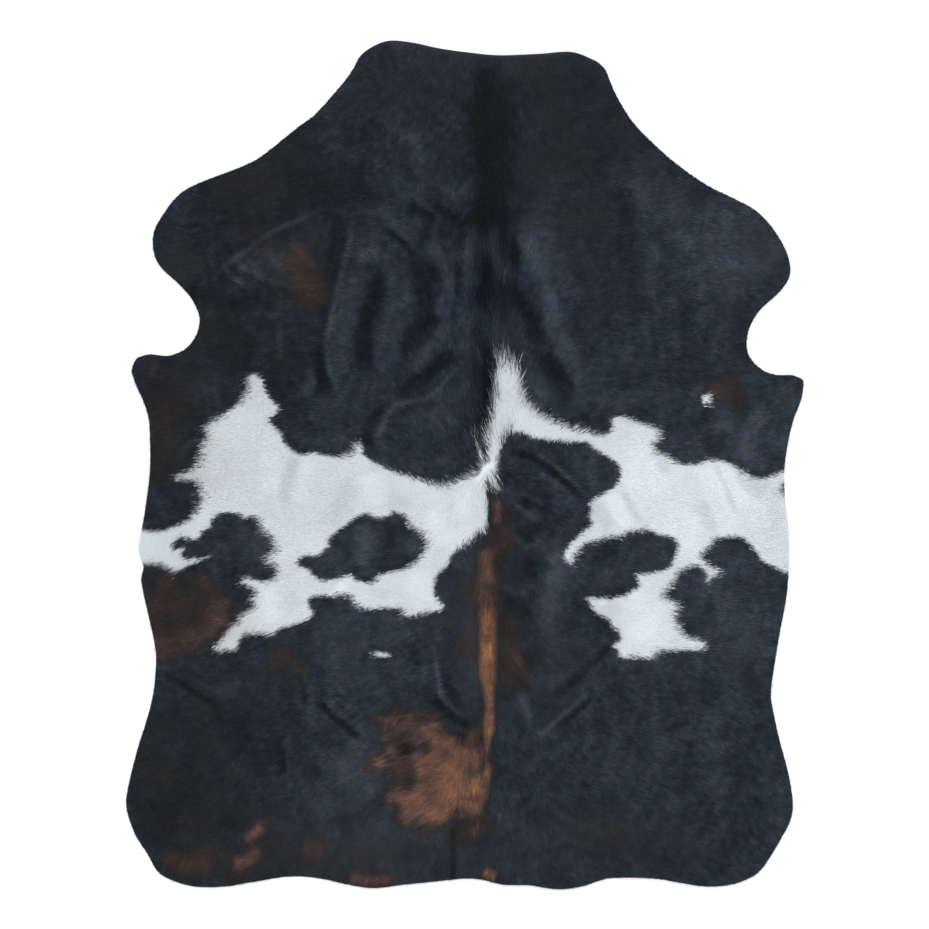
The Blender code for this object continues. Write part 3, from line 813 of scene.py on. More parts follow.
STREAMS["left shoulder"] = [
    (-15, 45, 155), (-14, 30, 150), (-14, 12, 148), (-11, -3, 150), (-25, 45, 176), (-25, 30, 176),
    (-25, 12, 168), (-45, 55, 186), (-45, 35, 186), (-45, 15, 184), (-30, 68, 195), (-50, 72, 192),
    (-62, 70, 188), (-75, 60, 192), (-60, 40, 190), (-78, 22, 190), (-65, 10, 190)]
STREAMS["right shoulder"] = [
    (29, 45, 22), (31, 30, 20), (20, 13, 48), (30, 12, 35), (16, 7, 72), (24, 6, 62), (40, 55, 8),
    (42, 35, 5), (45, 15, 4), (40, 70, 350), (60, 65, 352), (75, 55, 350), (60, 40, 355), (60, 15, 355),
    (80, 18, 350)]
STREAMS["left flank"] = [
    (4.5, -5.5, 276), (4.5, -9.5, 274), (4.5, -15.5, 276), (3, -19, 262), (1, -6, 250), (-3, -13, 225),
    (-12, -12, 185), (-10, -25, 197), (-8, -40, 200), (-25, -10, 187), (-25, -25, 188), (-25, -40, 190),
    (-45, -5, 186), (-45, -25, 188), (-62, -12, 190), (-78, -20, 190), (-50, -42, 195),
    (-70, -38, 195)]
STREAMS["right flank"] = [
    (12, -2.6, 0), (11.5, -1, 20), (11.5, -4, 340), (17, -3, 352), (14, -11, 322), (27, -3, 352),
    (20, -20, 325), (36, -5, 356), (32, -20, 345), (50, -5, 352), (50, -20, 350), (72, -8, 352),
    (78, -20, 350), (48, -40, 345), (70, -40, 345), (15, -35, 312), (30, -38, 338)]
STREAMS["back"] = [
    (6.5, -3.9, 286), (7.8, -4.2, 290), (7.8, -5.8, 290), (8, -9, 280), (11, -7.5, 318), (6, -15, 270),
    (6.5, -25, 270), (6.5, -35, 270), (6.5, -45, 270), (6.5, -55, 270), (6.5, -65, 270),
    (6.5, -75, 269), (4, -82, 266), (6, -90, 270), (5, -100, 268)]
STREAMS["left haunch"] = [
    (-8, -55, 212), (-25, -55, 198), (-45, -58, 198), (-70, -60, 204), (-9, -68, 208), (-20, -77, 190),
    (-9, -80, 198), (-12, -89, 208), (-30, -80, 202), (-50, -80, 206), (-72, -80, 212), (-78, -95, 226),
    (-55, -99, 220), (-30, -99, 226), (-12, -101, 246)]
STREAMS["right haunch"] = [
    (15, -55, 315), (30, -57, 335), (50, -60, 340), (70, -60, 335), (15, -75, 310), (30, -80, 330),
    (50, -80, 335), (70, -80, 328), (78, -95, 315), (55, -99, 320), (32, -99, 312), (17, -99, 294)]
print("charted places:", sum(len(rows) for rows in STREAMS.values()))

# %% [markdown]
# Between the charted places the hair turns gently, as it does on the animal. So each row pulls on every
# place, the more strongly the nearer it is, and the pulls are added up as arrows. Real locks also sway a
# little, in waves of two sizes.

# %% Streams over the whole hide
STREAM_REACH = 0.022  # a row of the chart rules the hair this near it
WAYWARD = math.radians(9)  # how far locks sway from their stream, in soft waves
WIDE_WAYWARD = 0.6 * WAYWARD  # the same in wider waves
SWAY_SIZE, WIDE_SWAY_SIZE = 0.016, 0.045  # how wide both waves are


def hair_streams():
    """Two maps: how far east and how far north the hair points at each place."""
    east, north = np.zeros(SHAPE), np.zeros(SHAPE)
    for rows in STREAMS.values():
        for x, y, points_to in rows:
            away = (across_map - x * CM) ** 2 + (along_map - y * CM) ** 2
            pull = 1.0 / (away + STREAM_REACH ** 2) ** 2
            east += pull * math.cos(math.radians(points_to))
            north += pull * math.sin(math.radians(points_to))
    turn = WAYWARD * clouds(SWAY_SIZE, seed=21) + WIDE_WAYWARD * clouds(WIDE_SWAY_SIZE, seed=22)
    angle = np.arctan2(north, east) + turn
    return np.cos(angle), np.sin(angle)


hair_east, hair_north = hair_streams()
print("hair that points to the tail:", round((hair_north[on_hide] < 0).mean(), 2), "of the hide")

# %% [markdown]
# Short hair holds together in tufts that follow the streams, and a combed coat keeps small ripples across
# them. So random grain is drawn out along the streams for the tufts and across them for the ripples. The
# ripples have no height of their own, so their light and dark is painted shade and painted highlight.
# Soft clouds and small curls of light and dark come on top. A short chart holds the few places where the
# coat is more crumpled than elsewhere.

# %% Tufts, small ripples and curls
CRUMPLED = {
    "left shoulder": [("crumpled", 0.9, 14, [(-66, 58), (-54, 48), (-46, 38)])],
    "right of the spine": [("crumpled", 0.7, 7, [(16, -4), (16, -24), (14, -52)])],
    "neck": [("slightly crumpled", 0.25, 16, [(-20, 92), (0, 80), (24, 84)])],
}
TUFT_LENGTH = 0.036  # metres over which the grain of a tuft is drawn out
FINE_TUFT_LENGTH = 0.020  # the same for the tufts that vary the locks' colour
RIPPLE_LENGTH = 0.050  # and for the ripples across the hair
RIPPLE_WIDTH = 0.006  # size of the ripples' grain before it is drawn out
RIPPLE_TONE = 0.12  # spread of the ripples' painted shade and highlight
CLOUD_TONE, CLOUD_SIZE = 0.11, 0.018  # spread and size of soft patches of light and dark
CURL_TONE, CURL_SIZE = 0.15, 0.0045  # the same of small light and dark curls


def streaks(length, seed, across=False, grain_size=0.0):
    """Random grain drawn out along the hair, as locks that hold together, or across it, as ripples are."""
    grain = clouds(grain_size, seed)
    east_way, north_way = (-hair_north, hair_east) if across else (hair_east, hair_north)
    total = grain.copy()
    for way in (1, -1):
        x, y = across_map.copy(), along_map.copy()
        for _ in range(int(length / CELL / 2)):
            east, north = read(east_way, x, y), read(north_way, x, y)
            x += way * CELL * east
            y += way * CELL * north
            total += read(grain, x, y)
    return total / total.std()


tufts = streaks(TUFT_LENGTH, seed=31)
fine_tufts = streaks(FINE_TUFT_LENGTH, seed=32)
# Painted shade and highlight of small ripples across the hair, with random clouds and curls on top.
ripple_shade_and_mottle = RIPPLE_TONE * streaks(RIPPLE_LENGTH, seed=33, across=True, grain_size=RIPPLE_WIDTH)
ripple_shade_and_mottle += CLOUD_TONE * clouds(CLOUD_SIZE, seed=34)
ripple_shade_and_mottle += CURL_TONE * clouds(CURL_SIZE, seed=35)
ripple_shade_and_mottle *= 1 + draw(CRUMPLED)
print("light and dark of the tufts: spread", round(ripple_shade_and_mottle[on_hide].std(), 3))

# %% [markdown]
# The hair along the back is about twice as long as on the flanks. So a line is drawn along the back, and
# the hair's length swells softly towards it.

# %% Length of the hair
BACK_LINE = [(6.5, 104), (7, 84), (7, 64), (7, 45), (8, 30), (8, 18), (6, 4), (6, -6)]
BACK_HALF_WIDTH = 9.0  # centimetres either side of the back over which the hair is longer
LONGER_AT_BACK = 0.85  # share by which the hair at the back is longer
UNEVEN_LENGTH = 0.10  # spread of the hair's length from place to place
UNEVEN_SIZE = 0.03  # how wide such a place is

back_line = smooth_line(charted(BACK_LINE), LINE_STEP)
from_back, _ = near_line(back_line, BACK_HALF_WIDTH * CM)
backness = bump(from_back / (BACK_HALF_WIDTH * CM))
hair_length = 1 + LONGER_AT_BACK * backness + UNEVEN_LENGTH * clouds(UNEVEN_SIZE, seed=61)
shortest, longest = round(hair_length[on_hide].min(), 2), round(hair_length[on_hide].max(), 2)
print("hair length: from", shortest, "to", longest, "times the usual")

# %% [markdown]
# ## White, black and brown
#
# The white of this hide is one wide band across both flanks, joined by a strip over the spine, with a black
# island in it. The ring below goes round the band once. The map holds the distance from its border, above
# zero in the white, so a lock can be told white or black, and tufts of hair can carry the border a little
# to and fro.

# %% Upper side of the white band
WHITE_BAND = {}
WHITE_BAND["left flank, upper side"] = [
    (-86.3, -16.3), (-81.8, -17.2), (-78.2, -17.1), (-74.3, -15.7), (-71.1, -13.8), (-69.5, -11.8),
    (-68.2, -7.6), (-70.2, -4.5), (-74.8, -3.8), (-74.2, -2.6), (-70.7, -1.2), (-69.4, 0.1), (-68, 5.5),
    (-66.9, 6.8), (-67.4, 9.2), (-66, 10.9), (-63.6, 12.4), (-61, 14.2), (-58.2, 16.4), (-56.9, 18.2),
    (-56, 20), (-56.4, 21.8), (-55.8, 23), (-54.4, 23.4), (-53, 22.6), (-52.3, 21.9), (-51.9, 19.8),
    (-49.7, 16.5), (-48, 14.5), (-50.1, 11.4), (-47.5, 7.6), (-47, 5.9), (-45.3, 4.2), (-42.7, 2.6),
    (-39.5, 3.2), (-37.6, 2.8), (-33.6, 2.2), (-30.7, 2.6), (-29, 3.6), (-27.6, 6), (-26.6, 5.2),
    (-25.8, 2.4), (-21.7, -0.3), (-16.5, -2.4), (-12.1, -3.7), (-7.2, -5), (-3.6, -4.7), (0, -3.4),
    (3, -2.2)]
WHITE_BAND["spine strip"] = [
    (4.5, -0.8), (5.6, 2), (6.2, 6.3), (7, 10.2), (7.7, 14.1), (8.3, 18), (8.4, 21.5), (8.4, 24.6),
    (9.8, 25.8), (12.6, 25), (14.4, 22.4), (14.8, 19.6), (15.8, 17.2), (17.9, 15), (20.8, 13),
    (23.2, 11.4), (25.8, 10.4), (30.7, 9.2), (33.9, 8), (37, 8)]
WHITE_BAND["right flank, upper side"] = [
    (38.3, 9.7), (38.3, 11.9), (41.4, 12.5), (45.8, 10.7), (49.9, 9.1), (50.8, 7.2), (49.3, 5.3),
    (50.2, 3.5), (53.3, 1.9), (56.4, 0.3), (60.8, 0.3), (62.1, 1.2), (65.9, 1.2), (69.6, -0.1),
    (72.8, -2), (76.7, -3.6), (80.4, -2.5), (82.6, -1.6), (87, -1.2)]
print("points so far:", sum(len(side) for side in WHITE_BAND.values()))

# %% [markdown]
# The ring turns back at the right edge and comes home along the lower side, with the bays and tongues of
# this one hide.

# %% Lower side of the white band
WHITE_BAND["right flank, lower side"] = [
    (87, -28.5), (83.6, -28), (80.4, -26.8), (77.2, -24.8), (74.1, -21.1), (71.6, -18.9), (65.9, -18.9),
    (64, -21.1), (61.6, -23.6), (63.6, -26.2), (66.5, -27.9), (64.8, -28.6), (62.6, -30.9),
    (62.9, -28.4), (61.2, -26.8), (59.7, -26.5), (55.9, -27.7), (54.3, -30.5), (52.1, -33.4),
    (52.4, -34.6), (55.4, -36.2), (54.8, -39.4), (55.7, -41.9), (57.8, -44.4), (62.4, -46),
    (61.2, -47.9), (54, -48.2), (50.2, -48.8), (48.4, -50.3), (44, -50), (40.2, -50), (40.2, -48.2),
    (38.3, -46.9), (40.2, -45.6), (40.5, -43.8), (38.5, -42.2), (37, -40), (33.9, -38.1), (31.4, -34.9),
    (33.9, -34.6), (37.7, -34.6), (40.2, -34.3), (42.7, -33.1), (45.2, -31.2), (44.5, -28.7),
    (48.4, -28), (52.8, -26.8), (54.6, -23.6), (55.3, -21.1), (54, -19.2), (50.2, -17.9), (47.6, -17),
    (42.7, -17.3), (40.9, -18.5), (36.4, -19.2), (31.4, -20.8), (28.8, -23), (27.9, -25.5),
    (26.1, -25.1), (25.7, -23), (28.1, -19.9), (30.7, -17.3), (32.9, -15.5), (32.3, -13.6),
    (32.9, -11.6), (32, -10), (35.1, -8), (39.2, -5.4), (40.5, -2.3), (39.8, -0.4), (37.7, 1.9),
    (33.9, 4), (31.4, 5.8), (26.3, 5.8), (21.3, 6.4), (17.5, 7.1), (14, 8.4), (12.1, 8), (10.1, 5.4),
    (8.8, 2.2), (8.3, -0.8), (8.2, -3.2), (8.3, -5.4), (7.5, -6.2)]
WHITE_BAND["left flank, inner side"] = [
    (6.6, -4.8), (5.9, -5.4), (6, -8.5), (6, -13), (5.4, -17.2), (3.6, -17.6), (1.8, -19.8),
    (-1.4, -22), (-3.3, -23.4), (-4.5, -26.2), (-7.4, -29.4), (-7.7, -33.8), (-6.1, -35.6),
    (-5.8, -37.5)]
WHITE_BAND["left flank, lower side"] = [
    (-10.2, -38.5), (-15.3, -39.4), (-16.5, -37.5), (-20.9, -37.2), (-25.3, -37.5), (-28.5, -36.2),
    (-30.3, -34.1), (-35.4, -34.1), (-39.6, -34.4), (-40.5, -36.1), (-39.5, -39), (-43.2, -41.2),
    (-47.1, -42.3), (-50.1, -44.1), (-53, -43.9), (-56.7, -44.1), (-57.9, -45.2), (-59.3, -47.9),
    (-61.5, -48), (-63.2, -48.6), (-65.2, -47.6), (-62.9, -45), (-60.4, -41.9), (-58.6, -40.8),
    (-58.6, -39.5), (-55.4, -37.4), (-54.4, -36.1), (-55.5, -34.9), (-54.4, -33.5), (-54.9, -32.1),
    (-57.6, -30.4), (-56, -29.4), (-52.6, -30.5), (-50.1, -29.9), (-48.9, -28.4), (-49.2, -26.6),
    (-51.5, -24.6), (-50.1, -22.9), (-49.3, -21.5), (-50.8, -18.2), (-52.3, -17.1), (-54.1, -13.8),
    (-57, -13.8), (-58.5, -12.7), (-61.3, -12.4), (-63.9, -13.1), (-65.8, -14.4), (-65.8, -16),
    (-68, -17.5), (-69.1, -19.1), (-71.6, -19.4), (-74.2, -18.9), (-75.9, -21.8), (-72.8, -21.8),
    (-73.6, -23.3), (-71.3, -24.6), (-65.8, -23.7), (-68.4, -24.6), (-72, -26.4), (-75.2, -28),
    (-77.5, -26.7), (-79.3, -25.8), (-83.1, -25.8), (-86.3, -25.9)]
print("points so far:", sum(len(side) for side in WHITE_BAND.values()))

# %% [markdown]
# Islands are cut out of the band and flecks are added. A border isn't equally sharp everywhere: black
# hair that points into the white ends crisply, and white hair that runs out over the black makes a soft
# fringe. So the way of the hair there says how wide the mixed hairs are.

# %% Islands, flecks and mixed hairs
BLACK_ISLANDS = {
    "left flank": [
        (-43.2, -25), (-41.6, -23.7), (-38, -23.4), (-35.1, -21.2), (-35.1, -19.3), (-31.6, -16.5),
        (-28.5, -13.9), (-25.3, -12.6), (-22.8, -13.9), (-19.7, -13.3), (-18.4, -12.3), (-15.6, -13.3),
        (-14.4, -15.8), (-10.9, -18.1), (-9.9, -20.9), (-11.5, -23.7), (-14, -26.2), (-17.8, -27.4),
        (-22.2, -28.7), (-24, -30.6), (-27.9, -30), (-29.7, -28.7), (-34.1, -29.7), (-36.7, -30),
        (-39.1, -28.7), (-40.4, -27.2), (-42.7, -26.5)],
    "right edge": [(82.3, -6.1), (83.4, -4.8), (86.5, -4.6), (86.5, -8.2), (83.4, -8.2)],
}
WHITE_FLECKS = {
    "wisp by the spine": [(4.8, -0.6), (4, 2.2), (3.2, 5), (4.2, 4), (5.4, 0.6)],
    "left thigh": [(-23.8, -49), (-21.3, -48.6), (-19.3, -49.5), (-20.9, -49.9)],
    "right shoulder": [(61.6, 16), (61.9, 17.6), (63.1, 18.6), (64, 17.8), (63.8, 16.3), (62.6, 15.6)],
}
RING_STEP = 0.006  # metres between the points of a smooth charted ring
BORDER_REACH = 0.06  # metres from a border over which its distance is worked out
BORDER_BLUR = 0.008  # how far the border is smoothed before its direction is read
CRISP_BORDER = 0.0080  # width of the mixed hairs where black hair points into the white
SOFT_FRINGE = 0.021  # width where white hair runs out over the black
TUFT_SWAY = 0.0013  # how far tufts carry the border to and fro


def charted_ring(places):
    return smooth_line(charted(places), RING_STEP, closed=True)


band = charted_ring([place for side in WHITE_BAND.values() for place in side])
into_white = inward(band, BORDER_REACH)
for places in BLACK_ISLANDS.values():
    into_white = np.minimum(into_white, -inward(charted_ring(places), BORDER_REACH))
for places in WHITE_FLECKS.values():
    into_white = np.maximum(into_white, inward(charted_ring(places), BORDER_REACH))
into_white = into_white + TUFT_SWAY * tufts

smooth_border = blur(into_white, BORDER_BLUR)
slope_east = np.gradient(smooth_border, CELL, axis=1)
slope_north = np.gradient(smooth_border, CELL, axis=0)
leaves_white = np.clip(-(slope_east * hair_east + slope_north * hair_north), 0, 1)
border_width = CRISP_BORDER + (SOFT_FRINGE * hair_length - CRISP_BORDER) * leaves_white
print("white share of the hide:", round((into_white[on_hide] > 0).mean(), 3))

# %% [markdown]
# Brown shows where the black coat thins out to red: along the spine behind the loin, on the rump, at the
# left edge and in faint breaths on the shoulders. A stroke's amount says how warm: about a third is a
# dark red brown, one is a bright tan. Below zero it takes warmth away.

# %% Brown from the neck to the forelegs
WARM = {}
WARM["neck"] = [
    ("right, dull", 0.12, 14, [(10, 104), (24, 88), (28, 70)]),
    ("back, dull", 0.03, 5, [(7, 104), (7, 80), (7, 62)]),
    ("left, dull", 0.05, 16, [(-16.5, 102.5), (-22, 86.5)]),
    ("front dull", 0.1, 6, [(-22, 106), (1.5, 104.5), (32.5, 103.5)]),
    ("right edge's dull", 0.1, 6, [(37.5, 92), (50.5, 75), (66.5, 67.5)]),
    ("right, red", 0.06, 12, [(14.5, 79), (26, 71), (40.5, 66)]),
]
WARM["withers"] = [
    ("dull", 0.07, 9, [(25, 68.5), (35, 58), (35, 35)]),
]
WARM["left shoulder"] = [
    ("dull", 0.16, 15, [(-38, 83), (-52.5, 73), (-64.5, 64.5)]),
    ("lower red", 0.08, 5, [(-50, 52), (-42, 42), (-38, 32)]),
    ("wide dull", 0.06, 9, [(-68.5, 64.5), (-58, 60.5), (-49, 62)]),
    ("red around", 0.08, 9, [(-47.5, 61.5), (-39.5, 52.5), (-37, 38)]),
    ("dark red", 0.16, 6, [(-45.5, 56), (-41, 50.5), (-38.5, 40)]),
]
WARM["right shoulder"] = [
    ("red edge", 0.12, 4, [(70.5, 21.5), (71, 25.5), (69.5, 31)]),
    ("lobe", 0.12, 6, [(72, 66), (79, 56), (80, 50)]),
    ("streak", 0.14, 3, [(66, 45), (71, 38)]),
]
WARM["left foreleg"] = [
    ("dull", 0.12, 12, [(-70, 44), (-56, 34), (-44, 34)]),
    ("dull edge", 0.1, 6, [(-79, 64.5), (-77.5, 54.5), (-71, 46.5)]),
    ("dull tip", 0.1, 6, [(-77.5, 57), (-72.5, 52.5), (-70.5, 46.5)]),
    ("red", 0.08, 6, [(-66, 30), (-60, 38)]),
]
WARM["left lobe"] = [
    ("dull", 0.2, 9, [(-81.5, 26.5), (-76.5, 22.5), (-77.5, 14), (-79, -9.5)]),
    ("tip's dull", 0.16, 5, [(-83.5, 26.5), (-79.5, 24.5)]),
]
print("brown strokes so far:", len(strokes_of(WARM)))

# %% [markdown]
# The stripe down the back is the brightest brown of the hide, and the one place where it is nearly tan.

# %% Brown from the spine to the flanks
WARM["spine"] = [
    ("left side, dull", 0.08, 8, [(2, -24), (0, -40), (2, -60)]),
    ("first red", 0.26, 1.3, [(8.4, -8.5), (8.6, -12), (8.4, -16)]),
    ("behind the whorl", 0.1, 2.6, [(7.5, -5), (9, -14), (8, -24)]),
    ("upper spot", 0.2, 1.8, [(5, -21), (5.5, -25), (6, -31)]),
    ("dull", 0.2, 3.2, [(5, -21), (5.5, -28), (6, -37)]),
    ("stripe", 0.71, 1.9, [(6, -35), (6, -41.5), (6, -49.5), (6, -58.5)]),
    ("brightest", 0.1, 1, [(6.5, -46.5), (6.5, -49), (6.5, -51.5)]),
    ("lower", 0.56, 1.5, [(6, -56), (6.5, -62.5), (6.5, -71)]),
    ("last", 0.2, 0.7, [(6.5, -68.5), (6, -76.5), (6, -84.5)]),
    ("left haze", 0.12, 4.2, [(2, -27), (1.5, -40), (2.5, -54)]),
    ("right side", 0.09, 4, [(11, -35), (11.5, -48), (12, -61)]),
]
WARM["right of the spine"] = [
    ("dull", 0.12, 5, [(10.5, -14.5), (11.5, -30), (11.5, -51), (11, -63.5)]),
    ("brown streak", 0.12, 1.8, [(12.5, -48.5), (15, -53), (18.5, -58.5)]),
    ("by the white, dull", 0.08, 4, [(12.5, -4), (14.5, -12), (9, -25)]),
    ("wide dull", 0.07, 8, [(17, -40.5), (25, -51), (28.5, -58.5)]),
]
WARM["left flank"] = [
    ("brown patch's warm corner", 0.09, 4, [(-74.5, -44.5), (-69, -43.5), (-63, -38)]),
    ("brown patch's dark corner", -0.1, 5, [(-86, -30), (-79, -32)]),
    ("dull", 0.04, 6, [(-77.5, -43), (-76.5, -58.5)]),
    ("tail, dull", 0.08, 5, [(-59.5, -32.5), (-62, -45.5), (-68.5, -52)]),
    ("black bays, dull", 0.1, 3, [(-61.5, -17), (-59.5, -23.5)]),
]
print("brown strokes so far:", len(strokes_of(WARM)))

# %% [markdown]
# Black notches and a grey blotch are left in the rump's brown, and the left hind leg has four dull brown
# streaks.

# %% Brown from the thighs to the hind legs
WARM["left thigh"] = [
    ("dull", 0.08, 6, [(-55.5, -48), (-45.5, -53.5), (-74, -56)]),
    ("red", 0.16, 4.5, [(-51, -47), (-46, -51), (-39, -55)]),
]
WARM["left haunch"] = [
    ("dull", 0.15, 20, [(-74, -58.5), (-71, -76.5), (-67.5, -97.5)]),
    ("dull streak", 0.12, 4, [(-55.5, -92.5), (-45.5, -95)]),
]
WARM["right haunch"] = [
    ("dull", 0.02, 16, [(26, -92), (50, -96), (56, -80)]),
    ("foot's dull", 0.07, 9, [(9, -100), (25, -97.5), (43, -100)]),
    ("dull streaks", 0.05, 3, [(21, -90), (30, -93), (40.5, -97.5)]),
    ("upper red", 0.02, 9, [(24, -60), (40, -72)]),
]
WARM["rump"] = [
    ("right", 0.06, 3.6, [(-8, -72), (-2, -78), (2, -87)]),
    ("right edge", 0.13, 1.7, [(4.5, -77), (4.7, -83), (4.6, -88)]),
    ("pale spot", 0.03, 1.4, [(-10.5, -91), (-7, -91.5)]),
    ("pink spot", 0.1, 1.5, [(-11.5, -68.5), (-7.5, -68)]),
    ("dark hole", -0.2, 2.4, [(-15.5, -72), (-14.5, -75.5)]),
    ("grey blotch", -0.36, 2.2, [(-11.5, -72), (-9.5, -75.5)]),
    ("fringe", -0.06, 2.2, [(-2.5, -71.5), (1.5, -72), (6, -72)]),
    ("dull corner", -0.22, 5, [(-20, -66.5), (-16.5, -69.5), (-19, -73.5)]),
    ("dull side", -0.14, 3.2, [(-19.5, -78.5), (-15, -79.5), (-11.5, -80)]),
    ("black to the right", -0.2, 2.4, [(10.5, -72), (11, -82), (10.5, -91.5)]),
    ("tail of the patch", 0.17, 3.4, [(-20.5, -79), (-24, -79), (-27, -79)]),
    ("around", 0.04, 8, [(-34, -80), (-26, -92), (-10, -100)]),
    ("edge", 0.3, 2.2, [(-31, -107.5), (-24, -108), (-18, -107.5)]),
    ("left dull", 0.04, 4, [(-22.5, -65), (-24, -71.5), (-25.5, -78)]),
    ("right foot's dull", 0.1, 5, [(-6.5, -96), (4, -94.5), (9, -91)]),
    ("upper", -0.1, 5, [(-18, -67), (-12, -67), (-6, -69)]),
    ("above the fringe", 0.1, 3, [(-2.5, -61), (1.5, -67), (6.5, -65)]),
    ("foot, dull", 0.11, 7, [(-68.5, -104.5), (-45.5, -103), (-16.5, -100), (14.5, -101.5)]),
    ("tail stub", 0.5, 1.8, [(4.5, -105.5), (8.5, -107)]),
]
WARM["left hind leg"] = [
    ("first", 0.36, 1.5, [(-57.5, -97), (-55, -96), (-52.5, -93.5)]),
    ("second", 0.24, 2, [(-60, -103.5), (-56, -102.5), (-53, -99)]),
    ("third", 0.22, 3.4, [(-79, -101), (-72, -104), (-65, -103)]),
    ("fourth", 0.16, 3.4, [(-42, -98), (-36, -99)]),
    ("foot, dull", 0.06, 10, [(-74, -100), (-48, -102.5), (-16.5, -104)]),
    ("dull", 0.05, 7, [(-79, -76.5), (-76.5, -97.5), (-58, -102.5)]),
]
WARM["right hind leg"] = [
    ("red", 0.08, 7, [(24, -92), (36, -95), (50, -99), (60, -106)]),
]
print("brown strokes so far:", len(strokes_of(WARM)))

# %% [markdown]
# The patches on the rump, the left flank and the right shoulder have a shape of their own, so they are
# rings that fade into the black over a few centimetres. The rump's counts twice, with a soft border and
# with a haze far around it.

# %% Brown patches with a shape of their own
RUMP_PATCH = [
    (-21.4, -65.3), (-18, -64.3), (-14.1, -64), (-10.2, -65.3), (-6.4, -66.3), (-4.3, -68.9), (-2.2, -70),
    (1.4, -69.4), (5.2, -70), (5.5, -72.8), (5.4, -78), (5.2, -84.5), (4.8, -89.7), (3, -91.2), (0.1, -91),
    (-2.7, -91.7), (-6.4, -93), (-10.2, -93.6), (-13.6, -92.3), (-15.7, -90.2), (-18.3, -88.6),
    (-19.3, -86.6), (-18, -84), (-18, -81.9), (-19.4, -80.3), (-19.8, -77.2), (-20.4, -74.1), (-21, -71),
    (-21, -68.1)]
FLANK_PATCH = [
    (-86.7, -24.8), (-79, -26.6), (-71.2, -27.9), (-64.7, -28.7), (-62.1, -33.9), (-60.1, -39.1),
    (-62.9, -43.5), (-67.3, -46.9), (-72.5, -48.7), (-79, -50.8), (-86.7, -49.5)]
SHOULDER_PATCH = [
    (62.6, 20.5), (66.8, 22.4), (72, 22.4), (74.6, 19.5), (74.3, 15.6), (71.5, 13.2), (67.8, 13.2),
    (64.2, 15.6)]
BROWN_PATCHES = [  # ring, how warm it is, and metres over which it fades out
    (RUMP_PATCH, 0.30, 0.058),
    (RUMP_PATCH, 0.31, 0.115),
    (FLANK_PATCH, 0.245, 0.042),
    (SHOULDER_PATCH, 0.23, 0.042),
]
PATCH_REACH = 0.08  # metres from a patch's border over which its distance is worked out
PATCH_TUFTS = 0.004  # how far tufts carry a patch's border to and fro
PATCH_CLOUDS, PATCH_CLOUD_SIZE = 0.008, 0.012  # the same for soft clouds, and their size
UNEVEN_PATCH, UNEVEN_PATCH_SIZE = 0.10, 0.020  # spread and size of paler and deeper places in a patch
RUSTY = 0.005  # a trace of warmth that the whole black coat has
RUST_SPREAD, RUST_SIZE = 0.020, 0.020  # its spread, and the size of its clouds
FULLY_BROWN = 0.25  # warmth from which no black shows


def soft_patch(places, amount, fade):
    """The brown of one ring, uneven inside and fading out over its border."""
    border = inward(charted_ring(places), PATCH_REACH)
    border = border + PATCH_TUFTS * tufts + PATCH_CLOUDS * clouds(PATCH_CLOUD_SIZE, seed=41)
    uneven = 1 + UNEVEN_PATCH * clouds(UNEVEN_PATCH_SIZE, seed=42)
    return amount * smooth_step(border / fade + 0.5) * uneven


warmth = draw(WARM)
for places, amount, fade in BROWN_PATCHES:
    warmth += soft_patch(places, amount, fade)
warmth = np.maximum(warmth + RUSTY + RUST_SPREAD * clouds(RUST_SIZE, seed=43), 0.0)
print("brown share of the hide:", round((warmth[on_hide] > FULLY_BROWN).mean(), 3))

# %% [markdown]
# ## The leather
#
# The leather is a thin closed sheet: a hair side and a suede side on the same outline, joined by a cut
# edge. A flat net of points is triangulated inside the outline, finely on the hair side, where creases
# show, and more widely on the suede side. Then each point is lifted to the height map. The edge is a narrow
# wall with its corners just broken, as a knife leaves it.

# %% A net of points inside the outline
HAIR_SIDE_STEP = 0.0110  # metres between the points of the hair side
SUEDE_STEP = 0.0220  # and between those of the suede side
EDGE_BREAK = 0.0005  # how far the cut edge's corners are rounded off
KEEP_FROM_EDGE = 0.62  # share of a step that the net's points stay away from the edge
SHAKE = 0.12  # share of a step by which they are shaken
MERGED = 1e-7  # points that are nearer to each other than this become one


def moved_in(ring, distance):
    """The ring moved inwards. It runs anticlockwise, so the inside is on its left."""
    along = np.roll(ring, -1, axis=0) - np.roll(ring, 1, axis=0)
    along /= np.linalg.norm(along, axis=1)[:, None]
    return ring + distance * np.column_stack([-along[:, 1], along[:, 0]])


def net_inside(step, seed):
    """A triangular net of points over the hide, slightly shaken so that its rows don't show."""
    row_step = step * math.sqrt(3) / 2
    ys = np.arange(low.y, high.y, row_step)
    xs = np.arange(low.x, high.x, step)
    x, y = np.meshgrid(xs, ys)
    x = x + (np.arange(len(ys)) % 2)[:, None] * step / 2
    shake = np.random.default_rng(seed).uniform(-SHAKE, SHAKE, size=(2,) + x.shape) * step
    x, y = (x + shake[0]).ravel(), (y + shake[1]).ravel()
    keep = read(from_edge, x, y) > KEEP_FROM_EDGE * step
    return np.column_stack([x[keep], y[keep]])


def side_of_sheet(ring, step, seed):
    """Points and triangles of one side. The ring's points come first, in their order."""
    points = [Vector(p) for p in np.vstack([ring, net_inside(step, seed)])]
    loop = list(range(len(ring)))
    inside_loop = 1
    places, _, triangles, _, _, _ = delaunay_2d_cdt(points, [], [loop], inside_loop, MERGED)
    return np.array([p[:] for p in places]), np.array(triangles)


edge = moved_in(outline, EDGE_BREAK)
top, top_faces = side_of_sheet(edge, HAIR_SIDE_STEP, seed=51)
foot, foot_faces = side_of_sheet(edge, SUEDE_STEP, seed=52)
print("flat nets:", len(top), "points for the hair side and", len(foot), "for the suede side")

# %% [markdown]
# Both sides stand on the same ring, so bands of triangles from ring to ring close the edge without a gap:
# a bevel, the wall and a bevel again. The suede side's triangles are turned over, because it faces down.

